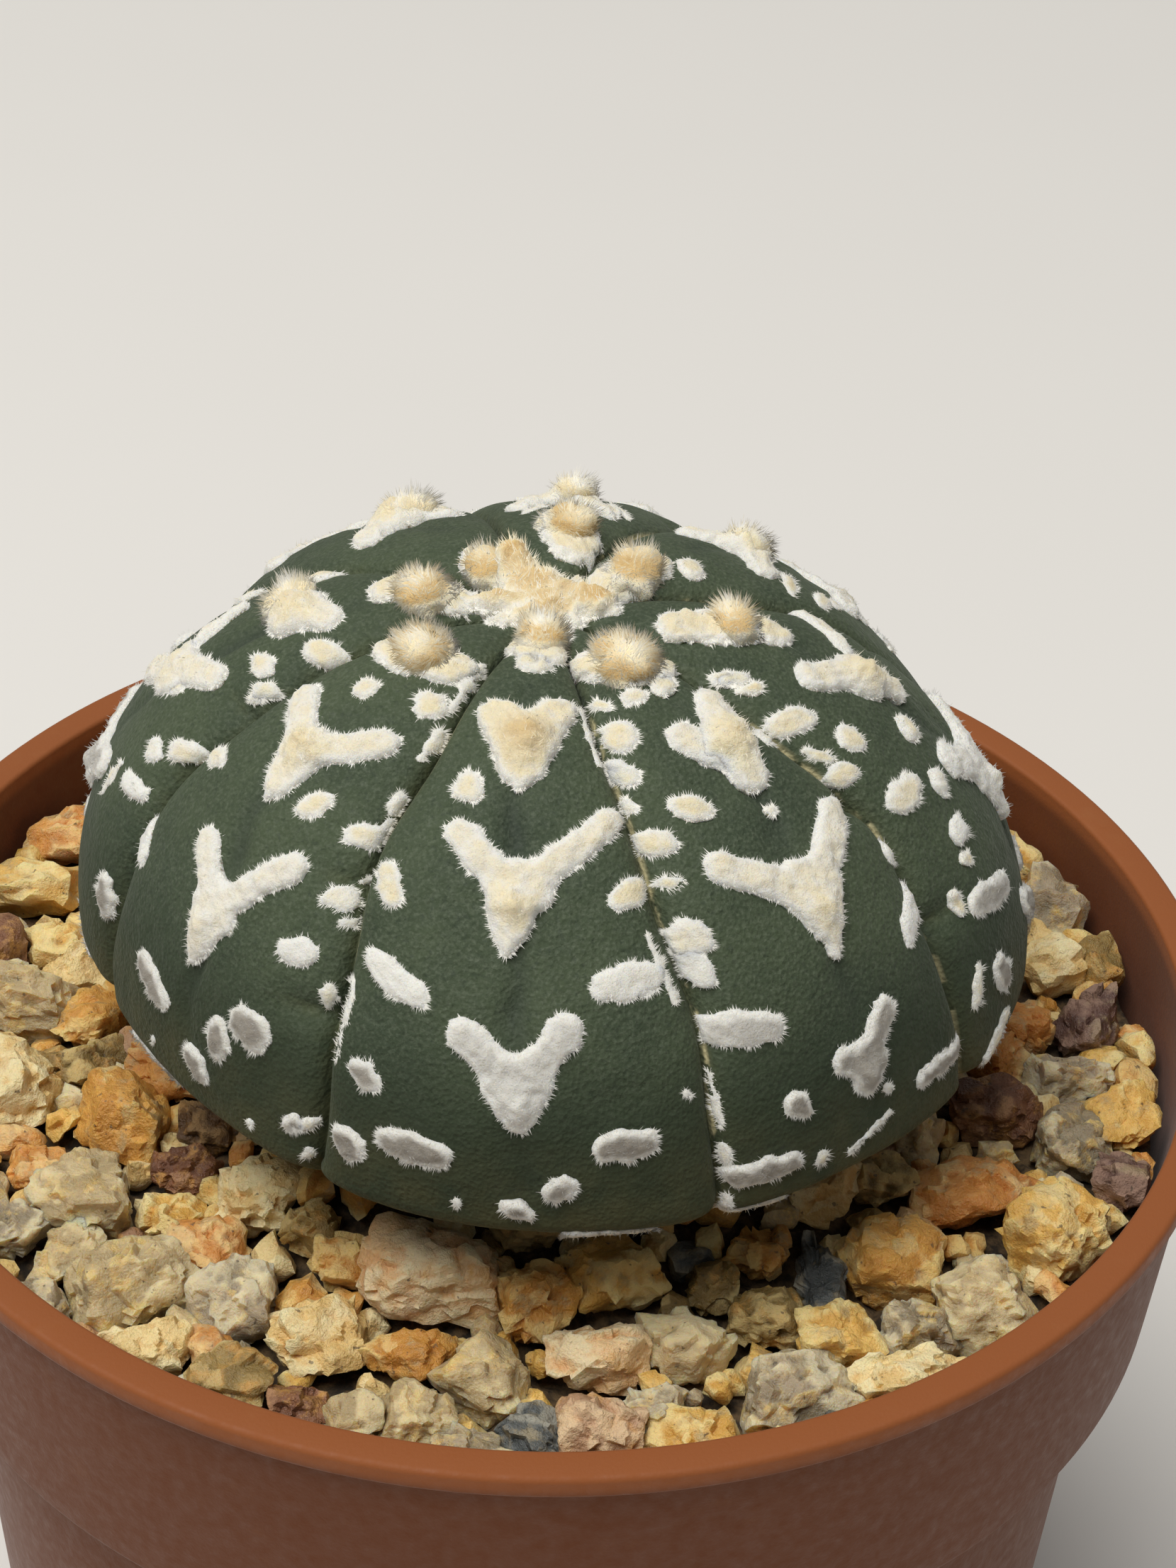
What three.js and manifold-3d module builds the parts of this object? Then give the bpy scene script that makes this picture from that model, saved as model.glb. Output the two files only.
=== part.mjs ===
// Potted star cactus: a plastic pot, its soil, a top dressing of grit, and a low eight-ribbed cactus
// covered in woolly white marks. Millimetres, +Z up, the foot of the pot on z = 0 under the origin,
// and the side that is seen first facing -Y.

import * as THREE from "three";
import { mergeVertices } from "three/addons/utils/BufferGeometryUtils.js";
import Module from "manifold-3d";

const wasm = await Module();
wasm.setup();

// Driving dimensions of the pot
const POT_HEIGHT = 68;
const RIM_RADIUS = 40;
const LIP_WIDTH = 2.1;
const LIP_DEPTH = 1.5;
const COLLAR_TOP_RADIUS = 39.2;
const COLLAR_LOW_RADIUS = 37.9;
const COLLAR_LOW_Z = 51.7;
const BARREL_TOP_RADIUS = 35.4;
const BARREL_TOP_Z = 50.9;
const BASE_RADIUS = 31.7;
const WALL = 1.3;
const FOOT_HEIGHT = 2;
const FOOT_WIDTH = 4;
const FLOOR = 1.6;
const DRAIN_RADIUS = 3.2;
const DRAIN_CIRCLE = 17;
const DRAIN_COUNT = 6;
const POT_SIDES = 48;

// Driving dimensions of the filling
const CLEARANCE = 0.3;
const SOIL_TOP = 57.5;
const GRIT_BED_TOP = 62.6;
const GRIT_MOUND = 3.4;
const MOUND_INNER = 15;
const MOUND_OUTER = 27;
const GRIT_STAND = 0.4;
const GRIT_INNER = 21;
const GRIT_OUTER = 35.2;
const FILL_SIDES = 40;

// Driving dimensions of the cactus
const RIBS = 8;
const AXIS_X = 1.0;
const AXIS_Y = -0.8;
const CREST_RADIUS = 26.9;
const WIDEST_Z = 73.6;
const RISE = 21.4;
const DROP = 7.2;
const UPPER_CURVE = 2.15;
const LOWER_CURVE = 1.6;
const RIB_TURN = -4;
const LEAN = -1.5;
const LOBE_DEPTH = 0.032;
const LOBE_DEPTH_LOW = 0.004;
const LOBE_CURVE = 2.4;
const CREASE_DEPTH = 0.032;
const CREASE_WIDTH = 0.06;
const CROWN_DIP = 1.2;
const CROWN_DIP_RADIUS = 5;
const NECK_RADIUS = 6;
const ROOT_END_Z = 30;

// How full each rib is, from the front one counter-clockwise seen from above
const RIB_FULLNESS = [1.005, 0.985, 1.0, 0.955, 1.01, 1.0, 1.02, 0.965];

// How far the groove after each rib strays from its even place, in degrees: near the crown, at the
// shoulder and low down
const GROOVE_DRIFT = [
  [-2.5, 0.5, 2.5],
  [-6, -3, -4],
  [0, 1, 0],
  [1, 0, -1],
  [-1, 0, 1],
  [0, -1, 0],
  [0.5, 1, 0.5],
  [1, 0, -0.5],
];
const DRIFT_STATIONS = [0.3, 0.9, 1.5];

// Cross folds, where a groove runs a little way into a rib: rib, side, mm down from the crown, reach
const FOLDS = [
  [7, 1, 22.2, 0.45],
  [7, 1, 29.5, 0.5],
  [1, 1, 21.0, 0.5],
  [2, -1, 29.0, 0.45],
  [6, 1, 18.5, 0.5],
  [6, -1, 30.0, 0.5],
  [2, 1, 20.0, 0.45],
  [3, 1, 28.0, 0.5],
  [4, -1, 19.0, 0.45],
  [4, 1, 27.5, 0.5],
  [5, -1, 29.0, 0.5],
];
const FOLD_DEPTH = 0.022;
const FOLD_WIDTH = 0.9;

function makeRandom(seed) {
  let state = seed;
  return () => {
    state = (Math.imul(state, 1664525) + 1013904223) >>> 0;
    return state / 4294967296;
  };
}

const radians = (degrees) => (degrees * Math.PI) / 180;
const wrap = (rib) => ((rib % RIBS) + RIBS) % RIBS;

function smoothStep(from, to, value) {
  const x = Math.min(Math.max((value - from) / (to - from), 0), 1);
  return x * x * (3 - 2 * x);
}

// The cactus is worked out from t, the turn from its crown (0) over the widest place (a quarter turn)
// to the underside, and from a rib's number with u, which runs from -1 to 1 between its two grooves.
function profile(t) {
  const sine = Math.max(Math.sin(t), 0);
  const cosine = Math.cos(t);
  if (cosine >= 0) {
    return {
      radius: CREST_RADIUS * sine ** (2 / UPPER_CURVE),
      height: RISE * cosine ** (2 / UPPER_CURVE),
    };
  }
  return {
    radius: CREST_RADIUS * sine ** (2 / LOWER_CURVE),
    height: -DROP * (-cosine) ** (2 / LOWER_CURVE),
  };
}

// Length along a crest from the crown to each of many small turns, so that places can be in mm
const ARC_STEPS = 1400;
const ARC_END = 2.84;
const ARC = [0];
for (let i = 1; i <= ARC_STEPS; i++) {
  const before = profile((ARC_END * (i - 1)) / ARC_STEPS);
  const here = profile((ARC_END * i) / ARC_STEPS);
  ARC.push(ARC[i - 1] + Math.hypot(here.radius - before.radius, here.height - before.height));
}

function turnAt(down) {
  const i = Math.max(1, ARC.findIndex((length) => length >= down));
  const part = (down - ARC[i - 1]) / (ARC[i] - ARC[i - 1]);
  return (ARC_END * (i - 1 + part)) / ARC_STEPS;
}

function grooveAngle(groove, t) {
  const [top, shoulder, low] = GROOVE_DRIFT[wrap(groove)];
  const toShoulder = smoothStep(DRIFT_STATIONS[0], DRIFT_STATIONS[1], t);
  const toLow = smoothStep(DRIFT_STATIONS[1], DRIFT_STATIONS[2], t);
  const drift = top * (1 - toShoulder) + shoulder * (toShoulder - toLow) + low * toLow;
  const g = wrap(groove);
  const waver = 0.7 * Math.sin(7 * t + 1.7 * g) + 0.4 * Math.sin(13 * t + 2.9 * g);
  return -90 + (360 / RIBS) * (groove + 0.5) + RIB_TURN + drift + waver;
}

function foldDepth(rib, u, down) {
  let depth = 0;
  for (const [foldRib, side, place, reach] of FOLDS) {
    if (foldRib !== rib || side * u <= 0) {
      continue;
    }
    const across = smoothStep(1 - reach, 1, Math.abs(u));
    depth += FOLD_DEPTH * across * Math.exp(-(((down - place) / FOLD_WIDTH) ** 2));
  }
  return depth;
}

function skinPoint(down, rib, u) {
  const t = turnAt(down);
  const own = wrap(rib);
  const next = wrap(rib + Math.sign(u));
  const from = grooveAngle(rib - 1, t);
  const to = grooveAngle(rib, t);
  const angle = radians((from + to) / 2 + (u * (to - from)) / 2);
  const share = 0.5 * u * u;
  const fullness = RIB_FULLNESS[own] * (1 - share) + RIB_FULLNESS[next] * share - 1;
  const { radius, height } = profile(t);
  const full = radius * (1 + fullness * Math.max(Math.sin(t), 0) ** 1.5);
  const low = Math.min(Math.max((t - 1.1) / 0.6, 0), 1);
  const lobe = LOBE_DEPTH * (1 - low) + LOBE_DEPTH_LOW * low;
  const crease = CREASE_DEPTH * Math.exp(-(1 - Math.abs(u)) / CREASE_WIDTH);
  const cut = lobe * Math.abs(u) ** LOBE_CURVE + crease + foldDepth(own, u, down);
  const dip = CROWN_DIP * Math.exp(-((full / CROWN_DIP_RADIUS) ** 2));
  const z = height * (1 - 0.9 * cut * (height > 0 ? 1 : 0.3)) - dip;
  const r = full * (1 - cut);
  return new THREE.Vector3(
    AXIS_X + r * Math.cos(angle) + (LEAN * Math.max(z, 0)) / RISE,
    AXIS_Y + r * Math.sin(angle),
    WIDEST_Z + z,
  );
}

// A place given in mm down from the crown and mm across from the rib's middle, to the right seen
// from outside. Marks at a rib's edge are held just inside its groove.
const EDGE_LIMIT = 0.97;

function halfWidth(down, rib) {
  const t = turnAt(down);
  const spread = radians(grooveAngle(rib, t) - grooveAngle(rib - 1, t)) / 2;
  return profile(t).radius * spread;
}

function placeOnRib(down, across, rib) {
  const u = across / halfWidth(down, rib);
  return skinPoint(down, rib, Math.min(Math.max(u, -EDGE_LIMIT), EDGE_LIMIT));
}

function outward(down, across, rib) {
  const step = 0.5;
  const below = placeOnRib(down + step, across, rib);
  const above = placeOnRib(Math.max(down - step, 0.1), across, rib);
  const right = placeOnRib(down, across + step, rib);
  const left = placeOnRib(down, across - step, rib);
  return new THREE.Vector3().crossVectors(below.sub(above), right.sub(left)).normalize();
}

// Wool marks of each rib: [width, height, [down, across], ...] in mm. One place is a dot, two are an
// oval or a bar, and three are a V or a heart.
const FLAT = 0.45;
const PAD = 0.65;
const TUFT = 2.1;

const RIB_MARKS = [
  [
    [2.7, PAD, [4.9, -0.5], [4.9, 0.6]],
    [1.7, TUFT, [5.1, 0.0]],
    [2.4, PAD, [10.4, -1.2], [13.4, 0.2], [10.1, 1.6]],
    [1.8, FLAT, [15.0, -2.4]],
    [1.8, PAD, [17.8, -2.4], [21.8, 0.4], [16.9, 4.9]],
    [2.0, FLAT, [21.3, -6.2]],
    [2.0, FLAT, [20.8, 6.4]],
    [1.8, FLAT, [25.6, -7.2], [26.4, -5.0]],
    [1.8, FLAT, [25.3, 4.8], [25.1, 7.4]],
    [1.8, PAD, [28.0, -2.4], [31.6, 0.4], [27.5, 2.6]],
    [1.5, FLAT, [31.3, -8.4], [31.6, -7.3]],
    [1.8, FLAT, [34.6, -6.4], [34.7, -3.8]],
    [1.8, FLAT, [33.7, 4.9], [33.6, 6.9]],
    [1.4, FLAT, [36.3, 2.1], [35.7, 2.8]],
    [1.0, FLAT, [37.2, -0.3], [37.8, 0.9]],
    [1.8, FLAT, [35.8, -9.4], [35.8, -8.5]],
  ],
  [
    [2.6, PAD, [6.4, -1.0], [6.9, 1.3]],
    [1.9, TUFT, [6.4, 0.2]],
    [1.4, FLAT, [9.4, 0.8], [9.8, 1.5]],
    [1.4, FLAT, [9.6, -0.9]],
    [2.3, PAD, [12.0, 3.2], [14.3, 1.4], [16.2, 1.8]],
    [2.3, PAD, [13.0, -0.1], [15.2, 1.5]],
    [1.4, FLAT, [14.9, 5.0]],
    [1.9, FLAT, [11.8, -3.0]],
    [1.3, FLAT, [13.4, -4.1], [14.4, -4.2]],
    [1.6, FLAT, [16.7, -2.9], [17.1, -1.9]],
    [1.9, FLAT, [18.3, -5.3]],
    [2.0, PAD, [20.5, -3.1], [24.6, 0.6], [20.5, 5.0]],
    [2.2, FLAT, [23.6, -6.9]],
    [2.0, FLAT, [25.2, -7.3]],
    [1.6, FLAT, [24.2, 7.8]],
    [1.7, FLAT, [26.7, 8.2], [28.0, 6.1]],
    [1.9, FLAT, [28.5, -7.9], [29.0, -4.7]],
    [1.5, FLAT, [30.6, 2.4], [33.6, 0.4], [32.2, -0.9]],
    [1.6, FLAT, [33.6, -4.1]],
    [1.3, FLAT, [35.7, 4.4], [35.9, 8.2]],
    [1.5, FLAT, [36.9, -8.2], [36.8, -5.0]],
  ],
  [
    [2.6, PAD, [8.6, -0.6], [11.6, 1.6]],
    [2.0, TUFT, [9.8, 0.5]],
    [1.5, FLAT, [11.6, -3.6]],
    [2.3, FLAT, [15.5, -5.1]],
    [1.3, PAD, [15.7, 6.4], [17.2, 3.4]],
    [2.1, PAD, [15.2, -1.0], [18.2, 1.4], [19.9, 2.0]],
    [1.9, FLAT, [18.4, -4.4]],
    [1.7, FLAT, [19.4, -7.0]],
    [1.6, FLAT, [21.2, -0.8]],
    [1.9, FLAT, [22.6, -4.7], [22.6, -6.6]],
    [1.5, FLAT, [24.0, -2.8]],
    [1.9, PAD, [24.5, -0.1], [28.6, 3.0], [25.3, 6.3]],
    [1.6, FLAT, [26.4, -4.4]],
    [1.7, FLAT, [29.9, -6.6], [31.0, -3.1]],
    [2.1, FLAT, [34.6, -6.6]],
    [1.9, PAD, [34.4, 0.0], [36.6, 2.2]],
  ],
  [
    [2.9, PAD, [5.6, -0.8], [7.2, 0.6]],
    [2.2, TUFT, [6.3, 0.0]],
    [1.7, FLAT, [9.6, -1.6]],
    [2.0, PAD, [14.4, 2.8], [17.2, 0.6], [15.2, -2.0]],
    [1.8, TUFT, [16.0, 0.8]],
    [1.5, FLAT, [18.6, -4.4]],
    [1.9, PAD, [22.0, -3.2], [25.8, 0.2], [21.8, 4.2]],
    [1.9, PAD, [31.0, -2.8], [34.4, 0.4], [30.8, 3.0]],
  ],
  [
    [2.9, PAD, [6.4, -1.0], [7.8, 1.0]],
    [2.2, TUFT, [7.0, 0.0]],
    [1.9, PAD, [13.0, -2.2], [16.2, 0.0], [13.2, 2.6]],
    [1.6, TUFT, [14.8, 0.0]],
    [1.9, PAD, [21.4, -3.6], [25.0, 0.0], [21.6, 3.4]],
    [1.9, PAD, [30.2, -3.0], [34.0, 0.2], [30.4, 2.6]],
  ],
  [
    [2.7, PAD, [5.2, -1.0], [6.4, 0.8]],
    [2.0, TUFT, [5.8, 0.0]],
    [2.2, PAD, [13.6, -2.6], [15.6, -0.6], [14.0, 2.2]],
    [1.9, TUFT, [14.8, -0.8]],
    [1.9, PAD, [22.0, -3.0], [25.6, 0.4], [22.2, 4.0]],
    [1.9, PAD, [31.4, -2.4], [34.8, 0.2], [31.0, 3.2]],
  ],
  [
    [2.7, PAD, [6.2, -1.4], [8.4, 0.2]],
    [2.0, TUFT, [7.2, -0.6]],
    [2.3, PAD, [15.0, -1.6], [14.2, 0.8], [12.2, 1.4]],
    [1.8, TUFT, [14.4, -0.8]],
    [2.1, FLAT, [13.0, 4.1], [12.6, 4.2]],
    [1.6, FLAT, [16.2, 4.0]],
    [1.3, FLAT, [16.8, 5.8]],
    [1.1, PAD, [18.5, -3.3], [21.6, -0.6]],
    [2.0, PAD, [24.2, -1.6], [21.6, 0.4], [19.2, 3.2]],
    [1.8, FLAT, [22.6, 7.4]],
    [1.4, FLAT, [24.2, 6.0]],
    [1.3, FLAT, [26.8, 6.3], [26.5, 8.0]],
    [1.8, PAD, [29.0, -4.0], [32.0, -1.2], [29.0, 2.4]],
    [1.2, FLAT, [32.4, 9.2], [34.0, 9.8]],
  ],
  [
    [3.0, PAD, [8.6, -1.4], [7.6, 0.8]],
    [2.1, TUFT, [8.1, -0.6]],
    [1.3, FLAT, [12.4, -0.9], [11.8, -0.6]],
    [1.8, FLAT, [10.9, 2.8]],
    [2.0, PAD, [14.9, -3.4], [19.0, -0.2], [14.4, 2.8]],
    [1.6, FLAT, [19.5, 2.4], [18.7, 2.9]],
    [1.9, FLAT, [19.4, 6.1]],
    [1.2, FLAT, [21.0, -6.0], [20.8, -5.0]],
    [1.7, PAD, [24.4, -2.0], [28.8, 0.2], [22.7, 3.9]],
    [1.6, FLAT, [23.2, 7.1]],
    [1.6, FLAT, [26.8, 5.9], [26.5, 7.2]],
    [1.4, FLAT, [27.2, -8.9], [28.4, -7.7]],
    [2.5, FLAT, [31.9, 5.0]],
    [1.7, FLAT, [33.1, -4.4], [34.1, -2.2]],
    [1.7, FLAT, [32.9, 3.0], [34.3, 3.0]],
    [1.6, FLAT, [35.9, 0.8], [36.6, 1.8]],
    [1.1, FLAT, [36.2, 8.6]],
  ],
];

// Smaller flecks on the far side, drawn by lot between the marks above
const FLECK_SEED = 41;
const FLECK_TOP = 9;
const FLECK_SPAN = 27;
const FLECK_REACH = 0.86;
const FLECK_WIDTH = 1.4;
const FLECK_SLANT = 1.6;
const FLECK_TRIES = 150;
const FLECK_GAP = 1.1;
const NEAR_SIDE = new THREE.Vector3(0, -0.81, 0.58);
const FAR_LIMIT = 0.02;

const middleOf = (one, other) => [(one[0] + other[0]) / 2, (one[1] + other[1]) / 2];

function addFarFlecks(marks, rib, random) {
  for (let i = 0; i < FLECK_TRIES; i++) {
    const down = FLECK_TOP + FLECK_SPAN * random();
    const across = (2 * random() - 1) * FLECK_REACH * halfWidth(down, rib);
    const width = FLECK_WIDTH * (1 + 0.5 * random());
    const drop = (random() - 0.5) * FLECK_SLANT;
    if (outward(down, across, rib).dot(NEAR_SIDE) > FAR_LIMIT) {
      continue;
    }
    const clear = marks.every(([otherWidth, , ...places]) => {
      const reach = (width + otherWidth) / 2 + FLECK_GAP;
      const between = places.slice(1).map((place, n) => middleOf(places[n], place));
      return [...places, ...between].every(([d, a]) => Math.hypot(d - down, a - across) > reach);
    });
    if (clear) {
      marks.push([width, FLAT, [down, across], [down + drop, across + 0.5]]);
    }
  }
}

const fleckRandom = makeRandom(FLECK_SEED);
RIB_MARKS.forEach((marks, rib) => addFarFlecks(marks, rib, fleckRandom));

// Stones that stand out, by place, size and turn: [x, y, wide, deep, turn in degrees]
const STONES = [
  [-30.5, 17.5, 6.0, 4.0, 20], [-32.0, 12.0, 7.0, 3.8, 5], [-29.8, 7.0, 3.8, 3.2, 0],
  [-31.0, 0.8, 6.6, 6.0, 0], [-30.8, -7.0, 5.8, 6.4, 60], [-26.3, -4.4, 5.4, 3.6, 10],
  [-23.2, -9.9, 5.4, 5.2, 10], [-18.2, -10.6, 3.3, 3.0, 0], [-19.4, -14.0, 4.4, 3.0, 0],
  [-24.4, -16.2, 6.2, 5.8, 30], [-27.6, -13.6, 3.4, 3.0, 0], [-19.6, -17.4, 3.2, 3.4, 60],
  [-14.9, -16.6, 4.4, 4.6, 80], [-11.8, -18.6, 3.6, 3.4, 0], [-28.8, -19.2, 4.2, 3.8, 40],
  [-26.0, -24.2, 3.0, 3.8, 60], [-21.2, -22.8, 6.8, 5.2, 20], [-19.4, -27.2, 4.2, 3.0, 15],
  [-15.4, -23.6, 4.8, 5.2, 70], [-15.0, -29.6, 4.2, 3.6, 0], [-11.4, -31.0, 3.8, 3.2, 0],
  [-10.4, -26.2, 6.0, 4.4, 10], [-9.8, -20.8, 3.6, 3.2, 0], [-4.9, -22.2, 7.4, 5.4, -5],
  [-5.6, -27.0, 5.0, 3.4, 15], [-8.6, -32.4, 3.0, 2.8, 0], [-5.4, -31.6, 4.6, 3.8, 0],
  [-2.6, -33.6, 3.6, 2.6, 0], [-1.6, -28.6, 4.4, 5.0, 60], [0.9, -23.0, 5.2, 4.6, 40],
  [0.4, -19.0, 4.4, 3.0, 0], [5.0, -21.4, 6.0, 4.2, 0], [0.8, -32.4, 3.6, 4.4, 80],
  [4.2, -27.0, 5.6, 4.2, 10], [4.6, -32.2, 4.4, 4.0, 0], [7.2, -30.4, 3.0, 3.0, 0],
  [8.8, -25.4, 4.0, 5.2, 75], [10.4, -20.8, 2.8, 3.4, 0], [13.0, -18.6, 3.8, 3.0, 0],
  [13.2, -22.8, 5.2, 3.6, 10], [10.0, -32.2, 5.4, 3.4, 10], [14.6, -28.6, 6.2, 5.2, 30],
  [16.4, -20.4, 2.6, 7.4, 5], [20.4, -18.4, 6.6, 5.4, 0], [19.4, -12.2, 4.2, 3.2, 0],
  [25.2, -12.4, 8.6, 4.8, 15], [25.0, -20.8, 5.2, 6.2, 70], [20.4, -27.0, 5.6, 3.6, 25],
  [16.6, -31.4, 3.0, 2.6, 0], [29.8, -15.8, 6.2, 5.4, 40], [31.0, -7.4, 4.8, 4.4, 0],
  [34.0, -10.8, 3.4, 3.6, 0], [34.4, -5.4, 4.0, 4.4, 0], [26.6, -5.2, 6.0, 3.8, 0],
  [31.4, -1.6, 5.6, 3.6, 5], [33.2, 3.4, 5.4, 4.0, 70], [29.0, 2.6, 3.8, 3.8, 0],
  [31.4, 8.8, 5.2, 3.8, 20], [34.4, 9.4, 3.6, 4.6, 0], [32.0, 14.6, 4.8, 4.4, 50],
  [28.8, 19.2, 4.6, 4.6, 0], [29.0, 13.4, 3.6, 2.8, 0],
];

// The rest of the grit is drawn by lot into the space that these leave
const STONE_SEED = 7;
const STONE_TRIES = 4000;
const STONE_SPACING = 0.84;
const STONE_WIDTH = 4.4;
const STONE_WIDTH_SPREAD = 2.2;
const WALL_REACH = 37.0;

function allStones() {
  const random = makeRandom(STONE_SEED);
  const stones = STONES.map(([x, y, wide, deep, turn]) => ({ x, y, wide, deep, turn }));
  for (let i = 0; i < STONE_TRIES; i++) {
    const angle = 2 * Math.PI * random();
    const radius = GRIT_INNER + (GRIT_OUTER - GRIT_INNER) * random();
    const wide = STONE_WIDTH + STONE_WIDTH_SPREAD * random();
    const deep = wide * (0.72 + 0.28 * random());
    const turn = 180 * random();
    const x = radius * Math.cos(angle);
    const y = radius * Math.sin(angle);
    const clear = stones.every((other) => {
      const reach = (STONE_SPACING * (wide + deep + other.wide + other.deep)) / 4;
      return Math.hypot(other.x - x, other.y - y) > reach;
    });
    if (clear) {
      stones.push({ x, y, wide, deep, turn });
    }
  }
  return stones;
}

// Solids and cuts. Corners that lie closer than this to their neighbours' faces are left out.
const SKIN_SMOOTHING = 0.1;
const GRIT_SMOOTHING = 0.14;

function toManifold(geometry) {
  const bare = geometry.clone();
  bare.deleteAttribute("normal");
  bare.deleteAttribute("uv");
  const merged = mergeVertices(bare, 1e-5);
  return new wasm.Manifold(new wasm.Mesh({
    numProp: 3,
    vertProperties: new Float32Array(merged.attributes.position.array),
    triVerts: new Uint32Array(merged.index.array),
  }));
}

const smoothed = (solid, distance) => solid.asOriginal().simplify(distance);

// The largest piece of a join, without loose scraps, and with the small hollows in it filled
function mainPiece(solid) {
  return solid.decompose().reduce((best, piece) => (piece.volume() > best.volume() ? piece : best));
}

function toGeometry(solid) {
  const mesh = solid.getMesh();
  const geometry = new THREE.BufferGeometry();
  geometry.setAttribute("position", new THREE.BufferAttribute(new Float32Array(mesh.vertProperties), 3));
  geometry.setIndex(new THREE.BufferAttribute(new Uint32Array(mesh.triVerts), 1));
  return geometry;
}

function indexedGeometry(points, triangles) {
  const geometry = new THREE.BufferGeometry();
  geometry.setFromPoints(points);
  geometry.setIndex(triangles);
  return geometry;
}

// A closed body through rings of points, lowest first, with a single point at each end
function ringBody(start, rings, end) {
  const points = [start, ...rings.flat(), end];
  const count = rings[0].length;
  const triangles = [];
  const at = (ring, i) => 1 + ring * count + (i % count);
  for (let i = 0; i < count; i++) {
    triangles.push(0, at(0, i + 1), at(0, i));
    triangles.push(points.length - 1, at(rings.length - 1, i), at(rings.length - 1, i + 1));
  }
  for (let ring = 0; ring + 1 < rings.length; ring++) {
    for (let i = 0; i < count; i++) {
      triangles.push(at(ring, i), at(ring, i + 1), at(ring + 1, i + 1));
      triangles.push(at(ring, i), at(ring + 1, i + 1), at(ring + 1, i));
    }
  }
  return indexedGeometry(points, triangles);
}

function lathe(outline, sides) {
  const points = outline.map(([r, z]) => new THREE.Vector2(r, z));
  return new THREE.LatheGeometry(points, sides).rotateX(Math.PI / 2);
}

// Inner radius of the pot at a height
function innerRadius(z) {
  if (z >= COLLAR_LOW_Z) {
    const part = (z - COLLAR_LOW_Z) / (POT_HEIGHT - LIP_DEPTH - COLLAR_LOW_Z);
    const outer = COLLAR_LOW_RADIUS + (COLLAR_TOP_RADIUS - COLLAR_LOW_RADIUS) * Math.min(part, 1);
    return outer - WALL;
  }
  return BASE_RADIUS + ((BARREL_TOP_RADIUS - BASE_RADIUS) * z) / BARREL_TOP_Z - WALL;
}

const FLOOR_TOP = FOOT_HEIGHT + FLOOR;
const STEP_Z = BARREL_TOP_Z - 0.6;

function potGeometry() {
  const outline = [
    [0, FOOT_HEIGHT],
    [BASE_RADIUS - FOOT_WIDTH - 0.6, FOOT_HEIGHT],
    [BASE_RADIUS - FOOT_WIDTH, 0],
    [BASE_RADIUS - 0.4, 0],
    [BASE_RADIUS, 0.5],
    [BARREL_TOP_RADIUS, BARREL_TOP_Z],
    [COLLAR_LOW_RADIUS - 0.3, COLLAR_LOW_Z - 0.2],
    [COLLAR_LOW_RADIUS, COLLAR_LOW_Z + 0.3],
    [COLLAR_TOP_RADIUS, POT_HEIGHT - LIP_DEPTH],
    [RIM_RADIUS, POT_HEIGHT - LIP_DEPTH + 0.35],
    [RIM_RADIUS, POT_HEIGHT - 0.35],
    [RIM_RADIUS - 0.35, POT_HEIGHT],
    [RIM_RADIUS - LIP_WIDTH + 0.3, POT_HEIGHT],
    [RIM_RADIUS - LIP_WIDTH, POT_HEIGHT - 0.3],
    [innerRadius(COLLAR_LOW_Z), COLLAR_LOW_Z],
    [innerRadius(STEP_Z), STEP_Z],
    [innerRadius(FLOOR_TOP), FLOOR_TOP],
    [0, FLOOR_TOP],
  ];
  let pot = toManifold(lathe(outline, POT_SIDES));
  const drain = new THREE.CylinderGeometry(DRAIN_RADIUS, DRAIN_RADIUS, 4 * FLOOR, 12);
  drain.rotateX(Math.PI / 2);
  for (let i = 0; i < DRAIN_COUNT; i++) {
    const angle = (2 * Math.PI * i) / DRAIN_COUNT;
    const cutter = drain.clone();
    cutter.translate(DRAIN_CIRCLE * Math.cos(angle), DRAIN_CIRCLE * Math.sin(angle), FLOOR_TOP);
    pot = pot.subtract(toManifold(cutter));
  }
  return toGeometry(pot);
}

// The taproot narrows from the neck down, and stands in a plain hole a little wider than itself
const NECK_Z = WIDEST_Z - DROP + 0.4;
const ROOT_TIP_RADIUS = 1.2;

function rootRadius(z) {
  const part = (z - ROOT_END_Z) / (NECK_Z - ROOT_END_Z);
  return ROOT_TIP_RADIUS + (NECK_RADIUS - ROOT_TIP_RADIUS) * part ** 0.6;
}

const ROOT_LEVELS = [ROOT_END_Z, 33, 40, 50, SOIL_TOP];
const ROOT_SIDES = 32;
const ROOT_PLAY = 0.4;

function rootHole() {
  const bottom = ROOT_END_Z - 2 * CLEARANCE;
  const wall = ROOT_LEVELS.map((z) => [rootRadius(z) + ROOT_PLAY, z]);
  const top = [rootRadius(NECK_Z) + ROOT_PLAY, POT_HEIGHT];
  const outline = [[0, bottom], [ROOT_TIP_RADIUS, bottom], ...wall, top, [0, POT_HEIGHT]];
  return toManifold(lathe(outline, ROOT_SIDES).translate(AXIS_X, AXIS_Y, 0));
}

function soilGeometry() {
  const levels = [FLOOR_TOP, STEP_Z, COLLAR_LOW_Z + 1, SOIL_TOP];
  const wall = levels.map((z) => [innerRadius(z) - CLEARANCE, z]);
  const fill = toManifold(lathe([[0, FLOOR_TOP], ...wall, [0, SOIL_TOP]], FILL_SIDES));
  return toGeometry(fill.subtract(rootHole()));
}

// The grit is heaped a little towards the cactus, which stands over the heap
function bedHeight(radius) {
  return GRIT_BED_TOP + GRIT_MOUND * (1 - smoothStep(MOUND_INNER, MOUND_OUTER, radius));
}

const MOUND_RINGS = [MOUND_OUTER, 24, 21, 18, MOUND_INNER, 0];

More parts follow.
